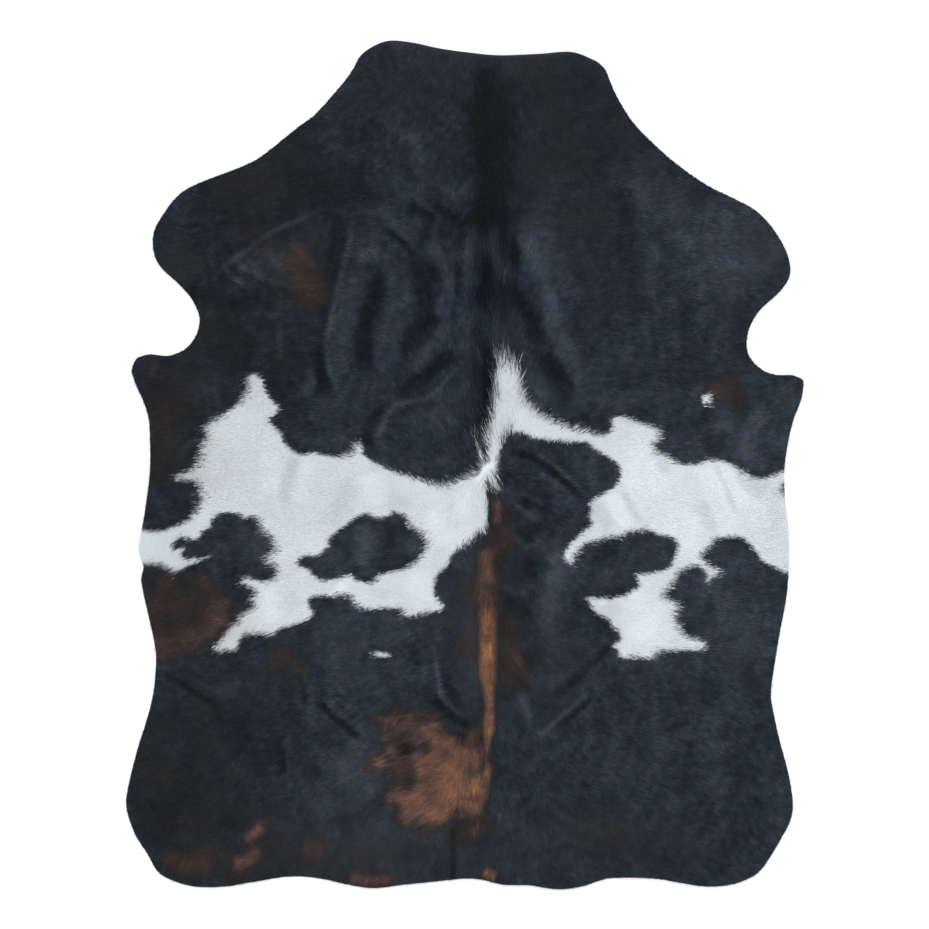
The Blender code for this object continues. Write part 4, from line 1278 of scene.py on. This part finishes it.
# %% Sheet with two sides and a cut edge
def leather_mesh():
    """Points, triangles, and how many triangles the hair side, the suede side and the cut edge have."""
    n = len(outline)
    wall_base = read(under, outline[:, 0], outline[:, 1])
    top_z = read(skin_top, top[:, 0], top[:, 1])
    foot_z = read(under, foot[:, 0], foot[:, 1])
    points = np.vstack([
        np.column_stack([top, top_z]),
        np.column_stack([foot, foot_z]),
        np.column_stack([outline, wall_base + SKIN - EDGE_BREAK]),
        np.column_stack([outline, wall_base + EDGE_BREAK])])
    foot_at, upper_at = len(top), len(top) + len(foot)
    lower_at = upper_at + n
    a = np.arange(n)
    b = (a + 1) % n

    def band_of(first, second):
        """Two triangles for each step between two rings, the first ring above the second."""
        return np.vstack([np.column_stack([first + a, second + a, second + b]),
                          np.column_stack([first + a, second + b, first + b])])

    faces = np.vstack([top_faces, foot_faces[:, ::-1] + foot_at, band_of(0, upper_at),
                       band_of(upper_at, lower_at), band_of(lower_at, foot_at)])
    cut_faces = len(faces) - len(top_faces) - len(foot_faces)
    return points, faces, [len(top_faces), len(foot_faces), cut_faces]


leather_points, leather_faces, leather_sides = leather_mesh()
print("leather:", leather_sides, "triangles on the hair side, the suede side and the cut edge")

# %% [markdown]
# A mesh is kept as long lists of points and corners. Filling these lists straight from arrays is far
# quicker than making faces one by one, and the coat will need that. Whatever a finish has to know, such
# as how white the hair is, is kept on the points as well.

# %% A piece from its points
PAINTED_BORDER = 0.004  # half width of the border between white and black under the hair
SKIN_SHADE_UNDER_HAIR = 0.3  # painted shade on the skin under the hair: as dark as a lock at this share of its length


def mesh_from(name, points, triangles):
    """A mesh straight from arrays, which is quick for many thousands of faces."""
    mesh = bpy.data.meshes.new(name)
    mesh.vertices.add(len(points))
    mesh.vertices.foreach_set("co", np.asarray(points, np.float32).ravel())
    mesh.loops.add(3 * len(triangles))
    mesh.loops.foreach_set("vertex_index", np.asarray(triangles, np.int32).ravel())
    mesh.polygons.add(len(triangles))
    mesh.polygons.foreach_set("loop_start", np.arange(0, 3 * len(triangles), 3, dtype=np.int32))
    mesh.update(calc_edges=True)
    mesh.shade_smooth()
    piece = bpy.data.objects.new(name, mesh)
    bpy.context.scene.collection.objects.link(piece)
    return piece


def keep_on_points(piece, **values):
    """Keeps numbers on a piece's points under plain names, for its material to read."""
    for name, value in values.items():
        layer = piece.data.attributes.new(name, "FLOAT", "POINT")
        layer.data.foreach_set("value", np.asarray(value, np.float32))


leather = mesh_from("leather", leather_points, leather_faces)
px, py = leather_points[:, 0], leather_points[:, 1]
# The skin under the hair gets the charts' painted light and shade and the painted shade of a lock's root.
keep_on_points(leather, white=np.clip(read(into_white, px, py) / PAINTED_BORDER, -1, 1) * 0.5 + 0.5,
               warmth=read(warmth, px, py), tone=read(tone, px, py),
               along=np.full(len(px), SKIN_SHADE_UNDER_HAIR), across=np.zeros(len(px)))
print("numbers kept on the leather:", [layer.name for layer in leather.data.attributes])

# %% [markdown]
# ## The coat
#
# Hair could be a particle system, but that is lost when the model leaves this program, and single hairs
# would be millions. Short cow hair holds together in flat, pointed locks a couple of millimetres wide, so
# locks are modelled instead. Each has to know where it starts, how long it may be near the cut edge, and
# whether it is white.

# %% Where locks start and end, and which are white
EDGE_CLEAR = 0.0015  # roots stay this far inside the cut edge
OVERHANG = 0.0014  # how far the longest tips reach past the cut edge
SHORTEST_TRIM = 0.25  # a lock at the cut edge keeps at least this share of its length
MIXED_HAIRS = 0.34  # share of a border's width by which a lock's own chance carries it over the border
BORDER_SHIFT = 0.22  # white hair ends this share of the border's width before the charted line
BORDER_CONTRAST = 0.75  # a higher one makes more locks plain black or plain white


def roots(spacing, rng):
    """Scattered roots, one in each cell of a net, so that no place is bare."""
    xs = np.arange(low.x, high.x, spacing)
    ys = np.arange(low.y, high.y, spacing)
    x, y = np.meshgrid(xs, ys)
    x = (x + rng.uniform(0, spacing, x.shape)).ravel()
    y = (y + rng.uniform(0, spacing, y.shape)).ravel()
    keep = read(from_edge, x, y) > EDGE_CLEAR
    return x[keep], y[keep]


def trimmed(x, y, east, north, length, rng):
    """Lengths cut back where a tip would reach too far past the cut edge."""
    here = read(from_edge, x, y)
    there = read(from_edge, x + east * length, y + north * length)
    allowed = OVERHANG * rng.uniform(0, 1, len(x))
    share = (here + allowed) / np.maximum(here - there, TINY)
    return length * np.where(there < -allowed, np.clip(share, SHORTEST_TRIM, 1.0), 1.0)


def whiteness(x, y, chance):
    """How white a lock is at a place: its own chance counts most among the mixed hairs of a border."""
    border = read(border_width, x, y)
    depth = read(into_white, x, y) + border * (MIXED_HAIRS * chance - BORDER_SHIFT)
    return smooth_step(0.5 + BORDER_CONTRAST * depth / border)


print("mixed hairs over", round(border_width[on_hide].mean() * 1000, 1), "mm of a border on average")

# %% [markdown]
# Each lock is one small kite of two triangles: a root, two shoulders and a tip. It starts in the leather,
# rises a little and lies down again over the roots of the next ones. Its twist is random, so that all
# together they shine as hair does, across their length. Each takes its colour from the place where it
# shows most, past its middle.

# %% Growing locks
SHOWS_AT = 0.62  # share of a lock's length at which it takes its colour
ROOT_PLACE = 0.15  # share of a lock's length at which its root takes its colour
ROOT_DEPTH = 0.0004  # how deep a root starts below the leather's top
MIDDLE_RISE = 0.72  # height of a lock's middle over the leather, as a share of its tip's
STRAY = 8.0  # degrees by which a lock strays from its stream
TWIST = 11.0  # most degrees by which a lock is twisted about its length
CALM_WHITE = 0.88  # share of the twist and the grain that white locks lack
CALM_BROWN, CALM_FROM = 0.5, 0.3  # the same for brown ones, and the warmth from which it counts in full
LOCK_WARMTH, TUFT_WARMTH = 0.08, 0.07  # how the brown varies from lock to lock and from tuft to tuft
LOCK_GRAIN, TUFT_GRAIN = 0.19, 0.10  # the same for light and dark


def over_leather(x, y, above):
    return np.column_stack([x, y, read(skin_top, x, y) + above])


def grow(name, x, y, length, width, rise, rng, stray=STRAY, shows_at=SHOWS_AT):
    """One mesh of kite-shaped locks. Rise is the height of a tip over the leather."""
    n = len(x)
    east, north = read(hair_east, x, y), read(hair_north, x, y)
    turn = np.radians(stray) * rng.normal(size=n)
    east, north = east * np.cos(turn) - north * np.sin(turn), east * np.sin(turn) + north * np.cos(turn)
    length = trimmed(x, y, east, north, length, rng)

    def on_lock(share):
        return x + share * length * east, y + share * length * north

    shown = on_lock(shows_at)
    chance = rng.normal(size=n)
    white = whiteness(*shown, chance)
    white_root = white if shows_at < ROOT_PLACE else whiteness(*on_lock(ROOT_PLACE), chance)
    lean = np.radians(TWIST) * rng.uniform(-1, 1, n) * (1 - CALM_WHITE * white)
    warm = read(warmth, *shown)
    warm = warm * (1 + LOCK_WARMTH * rng.normal(size=n) + TUFT_WARMTH * read(fine_tufts, *shown))
    grain = LOCK_GRAIN * rng.normal(size=n) + TUFT_GRAIN * read(fine_tufts, *shown) + read(ripple_shade_and_mottle, *shown)
    calm = (1 - CALM_WHITE * white) * (1 - CALM_BROWN * np.clip(warm / CALM_FROM, 0, 1))
    # Painted light and shade from the charts and the ripples, with the lock's own random grain.
    shade = read(tone, *shown) + grain * calm

    half = 0.5 * width
    side = np.column_stack([-north * np.cos(lean) * half, east * np.cos(lean) * half, np.sin(lean) * half])
    middle = over_leather(*on_lock(0.5), MIDDLE_RISE * rise)
    tip = over_leather(*on_lock(1.0), rise)
    corners = [over_leather(x, y, -ROOT_DEPTH), middle - side, middle + side, tip]
    first = 4 * np.arange(n)[:, None]
    triangles = np.hstack([first + [0, 1, 2], first + [1, 3, 2]]).reshape(-1, 3)
    piece = mesh_from(name, np.stack(corners, axis=1).reshape(-1, 3), triangles)
    whites = np.column_stack([white_root, white, white, white]).ravel()
    keep_on_points(piece, white=whites, warmth=np.repeat(warm, 4), tone=np.repeat(shade, 4),
                   along=np.tile([0.0, 0.5, 0.5, 1.0], n), across=np.tile([0.0, -1.0, 1.0, 0.0], n))
    print(name + ":", n, "locks")
    return piece


# %% [markdown]
# The coat is grown in four layers of the same kind, because one mesh of that many faces would be hard to
# handle. The hair along the back, the ruff, is twice as long as on the flanks and stands up in a soft
# crest.

# %% Four layers
LAYERS, COAT_SEED = 4, 70
LOCK_SPACING = 0.0058  # metres between the roots of one layer
HAIR_LENGTH = 0.0165  # usual length of a lock away from the back
LOCK_WIDTH = 0.0018  # usual width of a lock
HAIR_RISE = 0.0022  # usual height of a tip over the leather
RUFF_RISE = 0.8  # share by which tips stand higher along the back
LENGTHS, WIDTHS, RISES = (0.75, 1.2), (0.7, 1.25), (0.55, 1.25)  # least and most of the usual ones

coat = []
for layer in range(LAYERS):
    rng = np.random.default_rng(COAT_SEED + layer)
    x, y = roots(LOCK_SPACING, rng)
    length = HAIR_LENGTH * read(hair_length, x, y) * rng.uniform(*LENGTHS, len(x))
    width = LOCK_WIDTH * rng.uniform(*WIDTHS, len(x))
    rise = HAIR_RISE * rng.uniform(*RISES, len(x)) * (1 + RUFF_RISE * read(backness, x, y))
    coat.append(grow(f"coat_{layer + 1}", x, y, length, width, rise, rng))
print("all layers:", sum(len(piece.data.vertices) // 4 for piece in coat), "locks")

# %% [markdown]
# Last come single long hairs along the back, in front of the whorl. They are thin and stray, and keep the
# colour of the place they grow from, so white ones run out in a fan over the black at the end of the white
# strip.

# %% Long single hairs
LONG_SEED = 80
LONG_SPACING = 0.0042  # metres between their roots
LONG_LENGTH = 0.064  # usual length of a long hair
LONG_WIDTH = 0.0011  # and its usual width
LONG_RISE = 0.0050  # and the usual height of its tip
LONG_STRAY, LONG_SHOWS_AT = 10.0, 0.1  # as STRAY and SHOWS_AT above
LONG_NEAR_BACK = 0.25  # they grow where the ruff has at least this share of its height
LONG_FIRST, LONG_LAST = 3, 62  # centimetres in front of the middle between which they grow
LONG_AT_SIDES = 0.6  # their length at the ruff's sides, as a share of that on the back's line
LONG_LENGTHS, LONG_WIDTHS, LONG_RISES = (0.6, 1.15), (0.7, 1.3), (0.6, 1.3)  # as for the layers

rng = np.random.default_rng(LONG_SEED)
x, y = roots(LONG_SPACING, rng)
near = (read(backness, x, y) > LONG_NEAR_BACK) & (y > LONG_FIRST * CM) & (y < LONG_LAST * CM)
x, y = x[near], y[near]
length = LONG_LENGTH * rng.uniform(*LONG_LENGTHS, len(x))
length *= LONG_AT_SIDES + (1 - LONG_AT_SIDES) * read(backness, x, y)
width = LONG_WIDTH * rng.uniform(*LONG_WIDTHS, len(x))
rise = LONG_RISE * rng.uniform(*LONG_RISES, len(x))
coat.append(grow("long_hairs", x, y, length, width, rise, rng, stray=LONG_STRAY, shows_at=LONG_SHOWS_AT))
ALL_PIECES = [leather] + coat
print("pieces:", [piece.name for piece in ALL_PIECES])

# %% [markdown]
# ## Finishes
#
# A finish is a net of small steps, each of which takes a few values and gives back one. The same few kinds
# of step come again and again: a number kept on the points, random clouds, colours along a ramp, a sum, a
# mix and a fine relief. So a finish first gets a short way to add each of them.

# %% Short ways to build a finish
class Finish:
    """A material, and short ways to add steps to it. Each gives back the socket that holds its result."""

    def __init__(self, name):
        self.material = bpy.data.materials.new(name)
        self.material.use_nodes = True
        self.nodes = self.material.node_tree.nodes
        self.shader = self.nodes["Principled BSDF"]

    def put(self, slot, value):
        """A plain number or colour is set on the slot itself, and a socket is tied to it."""
        if isinstance(value, bpy.types.NodeSocket):
            self.material.node_tree.links.new(value, slot)
        else:
            slot.default_value = value

    def surface(self, slot, value):
        self.put(self.shader.inputs[slot], value)

    def kept(self, name):
        """A number kept on the piece's points."""
        node = self.nodes.new("ShaderNodeAttribute")
        node.attribute_name = name
        return node.outputs["Fac"]

    def clouds(self, scale, detail, roughness=0.5, on_object=False):
        """Random clouds, laid out over the piece's box or, on_object, in metres."""
        node = self.nodes.new("ShaderNodeTexNoise")
        self.put(node.inputs["Scale"], scale)
        self.put(node.inputs["Detail"], detail)
        self.put(node.inputs["Roughness"], roughness)
        if on_object:
            self.put(node.inputs["Vector"], self.nodes.new("ShaderNodeTexCoord").outputs["Object"])
        return node.outputs["Fac"]

    def ramp(self, value, stops):
        """Colours between stops: rows of (place, red, green, blue)."""
        node = self.nodes.new("ShaderNodeValToRGB")
        while len(node.color_ramp.elements) < len(stops):
            node.color_ramp.elements.new(1.0)
        for element, (place, *colour) in zip(node.color_ramp.elements, stops):
            element.position = place
            element.color = (*colour, 1.0)
        self.put(node.inputs["Fac"], value)
        return node.outputs["Color"]

    def sums(self, operation, *values):
        """One step of arithmetic."""
        node = self.nodes.new("ShaderNodeMath")
        node.operation = operation
        for slot, value in zip(node.inputs, values):
            self.put(slot, value)
        return node.outputs["Value"]

    def within_one(self, value):
        """The value kept between 0 and 1."""
        node = self.nodes.new("ShaderNodeClamp")
        self.put(node.inputs["Value"], value)
        return node.outputs["Result"]

    def mixed(self, blend, share, first, second):
        node = self.nodes.new("ShaderNodeMix")
        node.data_type = "RGBA"
        node.blend_type = blend
        for slot, value in (("Factor", share), ("A", first), ("B", second)):
            self.put(node.inputs[slot], value)
        return node.outputs["Result"]

    def relief(self, height, strength, depth):
        """Tiny bumps on the surface, whose depth is in metres."""
        node = self.nodes.new("ShaderNodeBump")
        self.put(node.inputs["Strength"], strength)
        self.put(node.inputs["Distance"], depth)
        self.put(node.inputs["Height"], height)
        self.surface("Normal", node.outputs["Normal"])


print("short ways:", [way for way in vars(Finish) if not way.startswith("_")])

# %% [markdown]
# Black hair is never plain black: seen closely it leans to teal, violet, olive or blue in soft clouds.
# Brown runs from a trace of red to bright tan, and stains the white hair that it meets. Each colour has a
# ramp, because crests are painted a paler shade of it, as a highlight, and hollows a darker one, as shade.

# %% Colours of the hair
BLACK_STOPS = [  # from the painted shade of the darkest hollow to the painted sheen of the lightest crest
    (0.0, 0.0012, 0.0022, 0.0034), (0.14, 0.0026, 0.0056, 0.0092), (0.39, 0.0092, 0.0146, 0.0210),
    (0.5, 0.0140, 0.0220, 0.0312), (0.68, 0.0258, 0.0360, 0.0485), (0.86, 0.0420, 0.0530, 0.0695),
    (1.0, 0.0560, 0.0680, 0.0870)]
# from painted grey shade in a hollow to a painted highlight on a crest
WHITE_STOPS = [
    (0.0, 0.46, 0.495, 0.51), (0.2, 0.54, 0.58, 0.595), (0.5, 0.655, 0.70, 0.71), (0.8, 0.755, 0.815, 0.82)]
WARM_STOPS = [  # from a trace of red in the black to bright tan
    (0.0, 0.0140, 0.0175, 0.0212), (0.10, 0.0146, 0.0160, 0.0178), (0.20, 0.0186, 0.0168, 0.0170),
    (0.30, 0.0325, 0.0215, 0.0196), (0.42, 0.0660, 0.0400, 0.0345), (0.54, 0.112, 0.058, 0.043),
    (0.66, 0.165, 0.076, 0.049), (0.85, 0.260, 0.120, 0.060), (1.0, 0.400, 0.195, 0.088)]
BROWN_LIGHT = [(0.0, 0.4, 0.4, 0.4), (0.5, 1, 1, 1), (1.0, 1.6, 1.6, 1.6)]  # painted light and shade on brown hair
ROOT_SHADE = [(0.0, 0.78, 0.78, 0.78), (0.45, 1.0, 1.0, 1.0), (1.0, 1.06, 1.06, 1.06)]  # painted shade at a lock's root, fading to a slightly lighter tip
# painted shade in a lock's grooves and a painted highlight between them
GROOVE_SHADE = [(0.0, 0.7, 0.7, 0.7), (1.0, 1.2, 1.2, 1.2)]
TINTS = {  # the scale of the clouds, and what they do to black
    23.0: [(0.34, 0.91, 1.045, 0.985), (0.5, 1.0, 1.0, 1.0), (0.66, 1.115, 0.955, 1.025)],
    31.0: [(0.34, 1.05, 1.025, 0.91), (0.5, 1.0, 1.0, 1.0), (0.66, 0.96, 0.99, 1.09)],
}
TINT_DETAIL, TINT_ROUGHNESS = 5.0, 0.62
STAINED_WHITE = (0.30, 0.23, 0.17, 1.0)  # white hair where the brown of the back runs into it
STAIN = 1.6  # how quickly warmth stains white hair


def black_hair(finish, light):
    colour = finish.ramp(light, BLACK_STOPS)
    for scale, tints in TINTS.items():
        cloud = finish.clouds(scale, TINT_DETAIL, TINT_ROUGHNESS, on_object=True)
        colour = finish.mixed("MULTIPLY", 1.0, colour, finish.ramp(cloud, tints))
    return colour


def brown_hair(finish, light, warm):
    return finish.mixed("MULTIPLY", 1.0, finish.ramp(warm, WARM_STOPS), finish.ramp(light, BROWN_LIGHT))


def white_hair(finish, light, warm):
    stained = finish.sums("MULTIPLY", warm, STAIN)
    return finish.mixed("MIX", stained, finish.ramp(light, WHITE_STOPS), STAINED_WHITE)


print("ramps:", len(BLACK_STOPS), "blacks,", len(WARM_STOPS), "browns and", len(WHITE_STOPS), "whites")

# %% [markdown]
# All the hair shares one finish. It reads the numbers kept on the points: white or not, how warm, how
# light, and where on the lock it is, because shade is painted at a lock's root, where the locks over it
# shade it. Fine grooves run to the tip, as the single hairs in a lock do, with painted shade in each
# groove. The shine is a plain soft one, with a little sheen for the down between the hairs.

# %% The hair's finish
TONE_TO_RAMP = 0.36  # a value of one on the map of painted light and tone goes this far along the ramps from their middle
WHITE_ROOTS = -0.8  # white hair lacks this much of the painted shade at the roots
GROOVES = 9.0  # radians of grooves from the middle of a lock to its side
GROOVE_DARK = 0.25  # how strongly painted shade darkens the grooves and a painted highlight lightens the hair between them
GROOVE_RELIEF, GROOVE_DEPTH = 0.25, 0.0004  # strength of their relief, and its depth in metres
SPECKLE_SCALE, SPECKLE_DETAIL = 240.0, 3.0  # small patches of shinier and duller hair
LEAST_ROUGH, ROUGH_SPREAD = 0.34, 0.2
HAIR_SHINE = 0.09
SHEEN, SHEEN_ROUGHNESS, SHEEN_TINT = 0.03, 0.45, (0.75, 0.86, 1.0, 1.0)


def hair_finish(name):
    finish = Finish(name)
    # The charts' painted light and shade, with the hair's own tone, picks the place on the ramps.
    light = finish.sums("MULTIPLY_ADD", finish.kept("tone"), TONE_TO_RAMP, 0.5)
    warm = finish.kept("warmth")
    white = finish.kept("white")
    how_brown = finish.within_one(finish.sums("MULTIPLY", warm, 1 / FULLY_BROWN))
    colour = finish.mixed("MIX", how_brown, black_hair(finish, light), brown_hair(finish, light, warm))
    colour = finish.mixed("MIX", white, colour, white_hair(finish, light, warm))
    # Painted shade at a lock's root, with less of it on white hair.
    root_shade_share = finish.sums("MULTIPLY_ADD", white, WHITE_ROOTS, 1.0)
    colour = finish.mixed("MULTIPLY", root_shade_share, colour, finish.ramp(finish.kept("along"), ROOT_SHADE))
    grooves = finish.sums("SINE", finish.sums("MULTIPLY", finish.kept("across"), GROOVES))
    # Painted shade in the grooves and a painted highlight between them.
    groove_shade = finish.ramp(finish.sums("MULTIPLY_ADD", grooves, 0.5, 0.5), GROOVE_SHADE)
    finish.surface("Base Color", finish.mixed("MULTIPLY", GROOVE_DARK, colour, groove_shade))
    finish.relief(grooves, GROOVE_RELIEF, GROOVE_DEPTH)
    speckle = finish.clouds(SPECKLE_SCALE, SPECKLE_DETAIL)
    finish.surface("Roughness", finish.sums("MULTIPLY_ADD", speckle, ROUGH_SPREAD, LEAST_ROUGH))
    finish.surface("Specular IOR Level", HAIR_SHINE)
    finish.surface("Sheen Weight", SHEEN)
    finish.surface("Sheen Roughness", SHEEN_ROUGHNESS)
    finish.surface("Sheen Tint", SHEEN_TINT)
    return finish.material


hair = hair_finish("hair")
for piece in ALL_PIECES:
    piece.data.materials.append(hair)
print("hair's finish:", len(hair.node_tree.nodes), "steps")

# %% [markdown]
# The flesh side of a tanned hide is plain suede: pale, matt and slightly blotchy, with a short nap. The cut
# edge shows the same leather. Both finishes are only clouds of colour and a fine bump.

# %% Suede and cut edge
SUEDE_STOPS = [(0.25, 0.36, 0.29, 0.215), (0.5, 0.45, 0.375, 0.29), (0.75, 0.53, 0.455, 0.36)]
EDGE_STOPS = [(0.2, 0.30, 0.24, 0.18), (0.8, 0.44, 0.37, 0.29)]
BLOTCH_SCALE, BLOTCH_DETAIL = 9.0, 6.0
FUZZ_SCALE, FUZZ_DETAIL, FUZZ_RELIEF = 620.0, 4.0, 0.5  # the suede's short nap
SUEDE_DEPTH, EDGE_DEPTH = 0.0004, 0.0003  # metres of its relief on either
SUEDE_ROUGH, SUEDE_ROUGH_SPREAD = 0.82, 0.12
SUEDE_SHEEN = 0.15


def leather_finish(name, stops, depth):
    finish = Finish(name)
    finish.surface("Base Color", finish.ramp(finish.clouds(BLOTCH_SCALE, BLOTCH_DETAIL), stops))
    fuzz = finish.clouds(FUZZ_SCALE, FUZZ_DETAIL)
    finish.relief(fuzz, FUZZ_RELIEF, depth)
    finish.surface("Roughness", finish.sums("MULTIPLY_ADD", fuzz, SUEDE_ROUGH_SPREAD, SUEDE_ROUGH))
    finish.surface("Sheen Weight", SUEDE_SHEEN)
    return finish.material


leather.data.materials.append(leather_finish("suede", SUEDE_STOPS, SUEDE_DEPTH))
leather.data.materials.append(leather_finish("cut_edge", EDGE_STOPS, EDGE_DEPTH))
leather.data.polygons.foreach_set("material_index", np.repeat([0, 1, 2], leather_sides).astype(np.int32))
print("finishes:", [m.name for m in leather.data.materials])

# %% [markdown]
# ## Flat maps
#
# Each piece gets a flat map on which its finish can be painted into a picture. A coat that lies flat is
# best laid out as seen from above. The leather's suede side gets a strip of its own beside the hair side.

# %% Flat maps for the paint
HAIR_SIDE_SHARE = 0.80  # the hair side's share of the leather's map
SUEDE_SCALE = 0.24  # the suede side's scale on the map against the hair side's
RIM = 0.001  # share of the leather's map that stays free at its rim


def lay_out(piece, u, v):
    layer = piece.data.uv_layers.new(name="OFBake")
    corner = np.empty(len(piece.data.loops), np.int32)
    piece.data.loops.foreach_get("vertex_index", corner)
    layer.data.foreach_set("uv", np.column_stack([u, v])[corner].astype(np.float32).ravel())


for piece in coat:
    co = np.empty(3 * len(piece.data.vertices), np.float32)
    piece.data.vertices.foreach_get("co", co)
    co = co.reshape(-1, 3)
    first, last = co.min(axis=0), co.max(axis=0)
    lay_out(piece, *((co - first) / (last - first)).T[:2])
reach = high - low
u = (px - low.x) / reach.x
v = (py - low.y) / reach.y
suede_points = np.arange(len(px)) > leather_faces[:leather_sides[0]].max()
u = np.where(suede_points, HAIR_SIDE_SHARE + (1 - HAIR_SIDE_SHARE) * u, u * HAIR_SIDE_SHARE)
v = np.where(suede_points, SUEDE_SCALE * v, v)
lay_out(leather, np.clip(u, RIM, 1 - RIM), np.clip(v, RIM, 1 - RIM))
print("flat maps:", [piece.data.uv_layers[0].name for piece in ALL_PIECES])

# %% [markdown]
# ## One rug
#
# The leather and its coat stand in for the solid hide. The leather is a sheet that was cut from one hide:
# its flat size is the hide's length and width, and its area is the outline's.

# %% Tie the pieces to the part
for piece in ALL_PIECES:
    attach(piece, "root")
    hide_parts("hide")

# %% [markdown]
# ## Floor, light and camera
#
# The rug lies on a plain white floor, far wider than the picture.

# %% Floor
FLOOR_DROP = 0.0004  # metres that the floor stays below the leather, so that the two don't mix
FLOOR_SIZE = 80.0  # metres across
FLOOR_STOPS = [(0.3, 0.90, 0.90, 0.90), (0.7, 0.92, 0.92, 0.92)]
FLOOR_SCALE, FLOOR_DETAIL, FLOOR_ROUGH, FLOOR_SHINE = 30.0, 2.0, 0.9, 0.1


def floor_finish():
    finish = Finish("floor")
    finish.surface("Base Color", finish.ramp(finish.clouds(FLOOR_SCALE, FLOOR_DETAIL), FLOOR_STOPS))
    finish.surface("Roughness", FLOOR_ROUGH)
    finish.surface("Specular IOR Level", FLOOR_SHINE)
    return finish.material


bpy.ops.mesh.primitive_plane_add(size=FLOOR_SIZE, location=(0, 0, -FLOOR_DROP))
floor = bpy.context.object
floor.name = "floor"
floor.data.materials.append(floor_finish())
print("floor:", FLOOR_SIZE, "m across")

# %% [markdown]
# A very wide soft light stands on the neck's side and a weaker one on the tail's side. Both shine along
# the back, because hair that lies across the light shines and hair that points at it goes dark. A pale
# surrounding light fills the rest.

# %% Light
SKY_COLOUR, SKY_STRENGTH = (0.93, 0.97, 1.0, 1.0), 0.70
WINDOWS = {"window_neck_side": (1.7, 180.0), "window_tail_side": (0.7, 0.0)}  # strength and turn in degrees
WINDOW_WIDTH = 60.0  # degrees of sky that a window fills, which makes its light soft
WINDOW_TILT = 38.0  # degrees from overhead

world = bpy.data.worlds.new("studio")
world.use_nodes = True
sky = world.node_tree.nodes["Background"]
sky.inputs["Color"].default_value = SKY_COLOUR
sky.inputs["Strength"].default_value = SKY_STRENGTH
bpy.context.scene.world = world

for name, (strength, comes_from) in WINDOWS.items():
    lamp = bpy.data.lights.new(name, "SUN")
    lamp.energy = strength
    lamp.angle = math.radians(WINDOW_WIDTH)
    holder = bpy.data.objects.new(name, lamp)
    holder.rotation_euler = (math.radians(WINDOW_TILT), 0.0, math.radians(comes_from))
    bpy.context.scene.collection.objects.link(holder)
print("lights:", list(WINDOWS))

# %% [markdown]
# Flat things are photographed from straight above. A long lens from high up keeps the outline true.

# %% Camera
SEEN_ACROSS = 2.410  # metres of floor across the picture
LENS, SENSOR = 70.0, 36.0  # millimetres

camera = bpy.data.objects.new("camera", bpy.data.cameras.new("camera"))
camera.data.sensor_width = SENSOR
camera.data.lens = LENS
camera.location = (0.0, 0.0, SEEN_ACROSS * LENS / SENSOR)
bpy.context.scene.collection.objects.link(camera)
bpy.context.scene.camera = camera
bpy.context.scene.view_settings.view_transform = "Standard"
print("camera", round(camera.location.z, 2), "m over the floor")

# %% [markdown]
# The rug with its hair is nearly the size of the solid that it stands for: only the longest tips reach
# past the cut edge.
